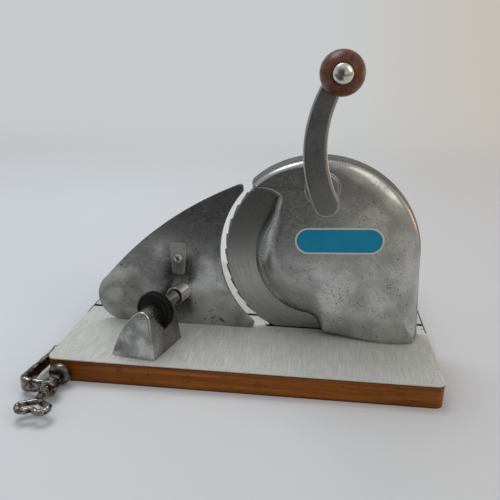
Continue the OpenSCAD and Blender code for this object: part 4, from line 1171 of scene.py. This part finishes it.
def makeScrews():
    tree = screwTree()
    for n, row in enumerate(screwRows):
        spots, aims = [], []
        for low, high in islandBoxes(row["node"]):
            k = row["axis"]
            spot = (low + high) / 2
            long = high[k] - low[k]
            inward = -1 if (k == 0 and spot.x > 0) or k == 1 else 1
            spot[k] = low[k] if inward > 0 else high[k]
            aim = Vector((0, 0, 0))
            aim[k] = inward
            spots.append(spot)
            aims.append(aim)
        mesh = bpy.data.meshes.new(row["node"])
        mesh.from_pydata(spots, [], [])
        held = mesh.attributes.new("aim", "FLOAT_VECTOR", "POINT")
        held.data.foreach_set("vector", [c for a in aims for c in a])
        sizes = {"Head Radius": row["head"] * mm, "Shank Radius": row["shank"] * mm, "Length": long,
                 "Slot Width": row["slot"] * mm, "Slot Depth": row["slot"] * mm, "Seed": 7 + n}
        made = runTree(tree, "zinc", sizes, mesh)
        dressPiece(row["node"] + ".slotted", made, "zinc", row["body"], [row["node"]], 30)


makeScrews()


# table clamp: forged bar, swivel pad, threaded screw and heart shaped handle
clamp = {
    "thick": 6.0, "tall": 13.0, "corner": 2.6, "bendR": 6.0, "out": 5.0, "gap": 2.0, "hingeR": 5.0,
    "hingeL": 28.0, "bossR": 7.0, "bossL": 10.0, "boreR": 4.06, "padR": 9.4, "padBore": 3.06, "padFlat": 5.0,
    "padRim": 2.2, "rod": 2.6, "lobe": 5.6, "screwR": 4.0, "screwTip": 3.0, "pitch": 2.0, "ridge": 0.4,
}


# rings along a path in the plane z = 0; section(i) gives (sideways, up) points
def pathRings(path, section, loop=False):
    rings, n = [], len(path)
    for i, p in enumerate(path):
        before = path[i - 1] if loop or i else p
        after = path[(i + 1) % n] if loop or i < n - 1 else p
        way = (after - before).normalized()
        side = Vector((-way.y, way.x))
        rings.append([(p.x + s * side.x, p.y + s * side.y, h) for s, h in section(i)])
    return rings


def makeBracket():
    c = Settings(clamp)
    hinge = jointAt("clamp_swing") / mm
    screw = jointAt("screw_turn") / mm
    barX = hinge.x - c.gap - c.thick / 2
    bendX = barX - c.out
    turn = (bendX + c.bendR, screw.y + c.bendR)
    start, corner = Vector((barX, hinge.y)), arc(turn, c.bendR, 180, 270, 12)
    path = [start.lerp(Vector(corner[0]), i / 10) for i in range(10)] + [Vector(p) for p in corner]
    path += [Vector(corner[-1]).lerp(Vector((screw.x - 3, screw.y)), i / 6) for i in range(1, 7)]
    lumps = [0.35 * sin(1.9 * i) + 0.25 * sin(0.8 * i + 1) for i in range(len(path))]

    def section(i):
        full = mixed(0.74, 1.0, ramp(i, 0, 13)) * mixed(1.0, 0.86, ramp(i, 20, 27))
        return roundedBox(c.thick - 0.4 + lumps[i] * 0.6, (c.tall - 0.4) * full + lumps[i], c.corner)

    place = Matrix.Translation((0, 0, hinge.z * mm)) @ Matrix.Scale(mm, 4)
    bm = bmesh.new()
    addRings(bm, pathRings(path, section), place)
    across = axisFrame(Vector((barX, hinge.y, hinge.z)) * mm, (1, 0, 0))
    half, eye = c.thick / 2, c.tall / 2 - 1
    eyeShape = [(0, -half), (eye - 1.2, -half), (eye, -half + 1.2), (eye, half - 1), (eye - 1, half)]
    tip = hinge.x + c.hingeL - barX
    pin = [(c.hingeR, half), (c.hingeR, tip - 0.8), (c.hingeR - 0.8, tip), (0, tip)]
    addLathe(bm, eyeShape + pin, across, 48, closed=False)
    b, r = c.bossL / 2, c.bossR
    side = [(c.boreR, -b), (r - 1.6, -b), (r - 0.4, -b + 0.6), (r, -b + 1.8)]
    boss = side + [(x, -y) for x, y in reversed(side)]
    addLathe(bm, boss, axisFrame(screw * mm, (0, 1, 0)), 48)
    toPiece("clamp.bracket", bm, "iron", "clamp", ["clamp_bracket"], 50)


def makePad():
    c = Settings(clamp)
    low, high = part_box("clamp_pad")
    axis = Vector((jointAt("screw_turn").x, high.y, jointAt("screw_turn").z))
    deep = (high.y - low.y) / mm
    r, flat, rim = c.padR, c.padFlat, c.padRim
    dome = [(flat + (r - flat) * cos(a), rim + (deep - rim) * sin(a)) for a in quarter(10)]
    cup = [(0, 1.0), (r - 3.4, 1.0), (r - 2.2, 0.5), (r - 1.8, 0), (r - 0.8, 0), (r, 0.8)]
    profile = cup + dome + [(c.padBore, deep), (c.padBore, deep - 4), (0, deep - 4)]
    bm = bmesh.new()
    addLathe(bm, profile, axisFrame(axis, (0, -1, 0)), 56, closed=False)
    toPiece("clamp.pad", bm, "pad", "clamp_pad", ["clamp_pad"], 45)


threadSizes = {"Length": 0.02, "Pitch": 0.002, "Radius": 0.0036, "Ridge": 0.00042, "Start": (0.0, 0.0, 0.0)}


def threadTree():
    net, size = newTree("screwThread", threadSizes)
    turns = net.math("DIVIDE", size["Length"], size["Pitch"])
    helix = {"Resolution": 24, "Rotations": turns, "Height": size["Length"],
             "Start Radius": size["Radius"], "End Radius": size["Radius"]}
    path = net.out("GeometryNodeCurveSpiral", helix)
    ridge = net.out("GeometryNodeCurvePrimitiveCircle", {"Resolution": 5, "Radius": size["Ridge"]})
    inputs = {"Curve": path, "Profile Curve": ridge, "Fill Caps": True}
    coil = net.out("GeometryNodeCurveToMesh", inputs)
    inputs = {"Geometry": coil, "Translation": size["Start"], "Rotation": (-pi / 2, 0, 0)}
    placed = net.out("GeometryNodeTransform", inputs)
    return endTree(net, placed, size)


def makeScrew():
    c = Settings(clamp)
    low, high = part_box("clamp_spindle")
    at = jointAt("screw_turn")
    start = Vector((at.x, low.y, at.z))
    long = (high.y - low.y) / mm
    core, tip = c.screwR - 0.45, c.screwTip
    profile = [(0, 0), (core, 0), (core, long - 4.4), (tip, long - 4)]
    profile += [(tip, long - 0.4), (tip - 0.4, long), (0, long)]
    bm = bmesh.new()
    addLathe(bm, profile, axisFrame(start, (0, 1, 0)), 40, closed=False)
    toPiece("clamp.screw", bm, "iron", "clamp_screw", ["clamp_spindle"], 40)
    begin = tuple(start + Vector((0, 6 * mm, 0)))
    sizes = {"Length": (long - 12) * mm, "Pitch": c.pitch * mm, "Radius": (core + 0.05) * mm,
             "Ridge": c.ridge * mm, "Start": begin}
    mesh = runTree(threadTree(), "iron", sizes)
    dressPiece("clamp.thread", mesh, "iron", "clamp_screw", (), 60)


def makeHandle():
    c = Settings(clamp)
    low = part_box("clamp_handle")[0]
    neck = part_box("clamp_handle")[1].y / mm
    at = jointAt("screw_turn")
    rod, lobe = c.rod, c.lobe
    lobeX = lobe + 1
    lobeY = low.y / mm + rod + lobe
    dentR = rod + 0.6
    dentA = degrees(acos(lobeX / (lobe + dentR)))
    dentY = lobeY - (lobe + dentR) * sin(radians(dentA))
    half = [Vector((0.5, neck - rod)), Vector((2, neck - rod - 0.8)), Vector((5, neck - rod - 2.4))]
    half += [Vector(p) for p in arc((lobeX, lobeY), lobe, 35, -180 + dentA, 22)]
    half += [Vector((0, dentY)) + polar(dentR, a) for a in range(int(dentA) + 8, 88, 8)]
    path = half + [Vector((-p.x, p.y)) for p in reversed(half)]
    for _ in range(2):
        path = [(path[i - 1] + 2 * p + path[(i + 1) % len(path)]) / 4 for i, p in enumerate(path)]
        path = [q for i, p in enumerate(path) for q in (p, (p + path[(i + 1) % len(path)]) / 2)]

    def section(i):
        swell = 1 + 0.035 * sin(0.45 * i) + 0.03 * sin(0.21 * i + 1)
        return [(rod * swell * x * 0.97, rod * swell * y * 0.95) for x, y in arc((0, 0), 1, 0, 345, 23)]

    place = Matrix.Translation((at.x, 0, at.z)) @ Matrix.Scale(mm, 4)
    bm = bmesh.new()
    addRings(bm, pathRings(path, section, True), place, closed=True)
    toPiece("clamp.handle", bm, "iron", "clamp_screw", ["clamp_handle"], 60)


makeBracket()
makePad()
makeScrew()
makeHandle()
print("clamp made")


# the other nodes keep their shape; visible ones get eased edges
eased = [
    ("board.beech", "base_board", 0.8, "beech", "base", "beech"),
    ("board.laminate", "laminate_top", 0.35, "laminate", "base", "laminate"),
    ("board.strips", "side_strips", 0.2, "strip", "base", "dark_steel"),
    ("housing.bush", "crank_bush", 0.4, "bronze", "base", "bronze"),
    ("crank.washer", "crank_washer", 0.2, "steel", "crank", "machined_steel"),
    ("knob.washer", "knob_washer", 0.4, "steel", "crank", "machined_steel"),
    ("fence.spindle", "fence_spindle", 0.4, "steel", "fence", "machined_steel"),
    ("blade.washer", "axle_washer", 0.2, "steel", "base", "machined_steel"),
    ("blade.screw", "axle_screw", 0.25, "zinc", "base", "screw_steel"),
]
for row in eased:
    easedCopy(*row)

kept = {
    "blade_axle": "steel", "clamp_ferrule": "strip", "crank_shaft": "steel", "crank_pinion": "gear",
    "crank_pin": "zinc", "blade_gear": "gear", "blade_hub": "bronze", "thumbwheel_nut": "bronze",
}
for node, look in kept.items():
    mesh = frame["nodes"][node].data
    mesh.materials.clear()
    mesh.materials.append(finish[look])
print("eased:", len(eased), "kept:", len(kept))


# stage: a pale sweep that turns warmer to the right, with painted light on its floor and back wall, and a
# dark sheet of painted shade that is only mirrored in the metal
stage = {
    "wide": 3.0, "front": -3.0, "back": 1.25, "curve": 0.7, "top": 2.6, "clothStart": -0.20,
    "clothHigh": 0.002, "cool": (0.575, 0.595, 0.61), "warm": (0.56, 0.515, 0.455),
}


def makeStage():
    s = Settings(stage)
    bend = [(s.back + x, s.curve + z) for x, z in arc((0, 0), s.curve, -90, 0, 24)]
    profile = [(s.front, 0.0)] + bend + [(s.back + s.curve, s.top)]
    mesh = bpy.data.meshes.new("sweep")
    points = [(x, y, z) for y, z in profile for x in (-s.wide, s.wide)]
    mesh.from_pydata(points, [], [(2 * i, 2 * i + 1, 2 * i + 3, 2 * i + 2) for i in range(len(profile) - 1)])
    mesh.polygons.foreach_set("use_smooth", [True] * len(mesh.polygons))
    floor = addObject("sweep", mesh)
    mat, net, shader, at = newMaterial("paperSweep")
    part = net.split(at)
    # painted light: the back wall glows for camera and glossy rays, cool at the left and warm at the right
    wallTone = net.mix(net.level(part[0], -0.1, 0.9), s.cool, s.warm)
    # painted light: the floor is paler and cooler to the left, darker and more neutral to the right
    paper = net.mix(net.level(part[0], -0.35, 0.35), (0.75, 0.79, 0.83), (0.68, 0.68, 0.69))
    paper = net.mix(net.level(net.noise(at, 3.0, 3.0), 0.3, 0.7, 0.0, 0.1), paper, (0.66, 0.66, 0.66))
    net.plug(shader, color=paper, rough=0.75)
    path = net.node("ShaderNodeLightPath").outputs
    seen = net.math("MAXIMUM", path["Is Camera Ray"], path["Is Glossy Ray"])
    wall = net.times(seen, net.level(part[1], 0.15, 1.7))
    glow = net.out("ShaderNodeEmission", {"Color": wallTone})
    both = net.out("ShaderNodeMixShader", {0: wall, 1: shader.outputs[0], 2: glow})
    net.link(both, net.tree.nodes["Material Output"].inputs["Surface"])
    mesh.materials.append(mat)
    # painted shade: a dark sheet on the floor in front, seen only in reflections, pale where it nears the
    # board
    cloth = addObject("mirroredShadeSheet", bpy.data.meshes.new("mirroredShadeSheet"))
    wide, y0, y1, z = s.wide, s.front, s.clothStart, s.clothHigh
    cloth.data.from_pydata([(-wide, y0, z), (wide, y0, z), (wide, y1, z), (-wide, y1, z)], [], [(0, 1, 2, 3)])
    cloth.visible_camera = cloth.visible_shadow = cloth.visible_diffuse = False
    mat, net, shader, at = newMaterial("mirroredShadeSheet")
    part = net.split(at)
    away = net.math("ABSOLUTE", net.plus(part[0], 0.06))
    tone = net.mix(net.level(away, 0.20, 0.50), (0.085, 0.085, 0.088), (0.20, 0.20, 0.205))
    pale = net.times(net.level(part[0], 0.08, 0.13), net.level(part[1], -1.1, -0.85))
    tone = net.mix(pale, tone, (0.60, 0.59, 0.54))
    left = net.times(net.level(part[0], 0.02, -0.03), net.level(part[0], -0.17, -0.10, 0.0, 0.055))
    near = net.minus(part[1], left)
    tone = net.mix(net.level(near, -0.38, -0.30), tone, (0.70, 0.71, 0.73))
    net.plug(shader, color=tone, rough=0.9)
    cloth.data.materials.append(mat)


lamps = [  # name, place, size, watts and colour
    ("softbox", (-0.45, 0.45, 1.6), (1.0, 0.7), 9.5, (0.96, 0.98, 1.0)),
    ("shoulder", (1.0, -0.60, 0.90), (0.9, 0.9), 2.6, (1.0, 0.95, 0.87)),
    ("copper", (1.25, 0.85, 0.25), (0.8, 0.4), 1.2, (1.0, 0.55, 0.28)),
]


def makeLight():
    for name, at, size, watts, color in lamps:
        data = bpy.data.lights.new(name, "AREA")
        data.shape = "RECTANGLE"
        data.size, data.size_y = size
        data.energy, data.color = watts, color
        aim = Vector((0, 0, 0.08)) - Vector(at)
        turn = aim.to_track_quat("-Z", "Y").to_matrix().to_4x4()
        addObject(name, data).matrix_world = Matrix.Translation(at) @ turn
    world = bpy.data.worlds.new("room")
    scene.world = world
    world.use_nodes = True
    net = Net(world.node_tree)
    way = net.node("ShaderNodeTexCoord").outputs["Generated"]
    part = net.split(way)
    front = net.level(part[1], 0.25, -0.75)
    middle = net.level(net.math("ABSOLUTE", net.plus(part[0], 0.06)), 0.60, 0.28)
    tone = net.mix(front, (0.50, 0.51, 0.52), (0.22, 0.22, 0.225))
    tone = net.mix(net.times(front, middle), tone, (0.07, 0.07, 0.072))
    right = net.times(net.level(part[0], 0.08, 0.24), net.level(part[1], 0.0, -0.3))
    tone = net.mix(right, tone, (0.46, 0.45, 0.41))
    tone = net.mix(net.level(part[2], 0.25, 0.85), tone, (0.54, 0.54, 0.54))
    tone = net.tint(part[0], -0.45, -0.95, 0.8, tone, (0.56, 0.58, 0.60))
    tone = net.tint(part[0], 0.45, 0.98, 0.6, tone, (0.40, 0.36, 0.32))
    seen = net.node("ShaderNodeLightPath").outputs["Is Camera Ray"]
    tone = net.mix(seen, tone, (0.62, 0.63, 0.64))
    net.link(tone, net.tree.nodes["Background"].inputs["Color"])
    net.tree.nodes["Background"].inputs["Strength"].default_value = 1.0


makeStage()
makeLight()
print("stage and light set")
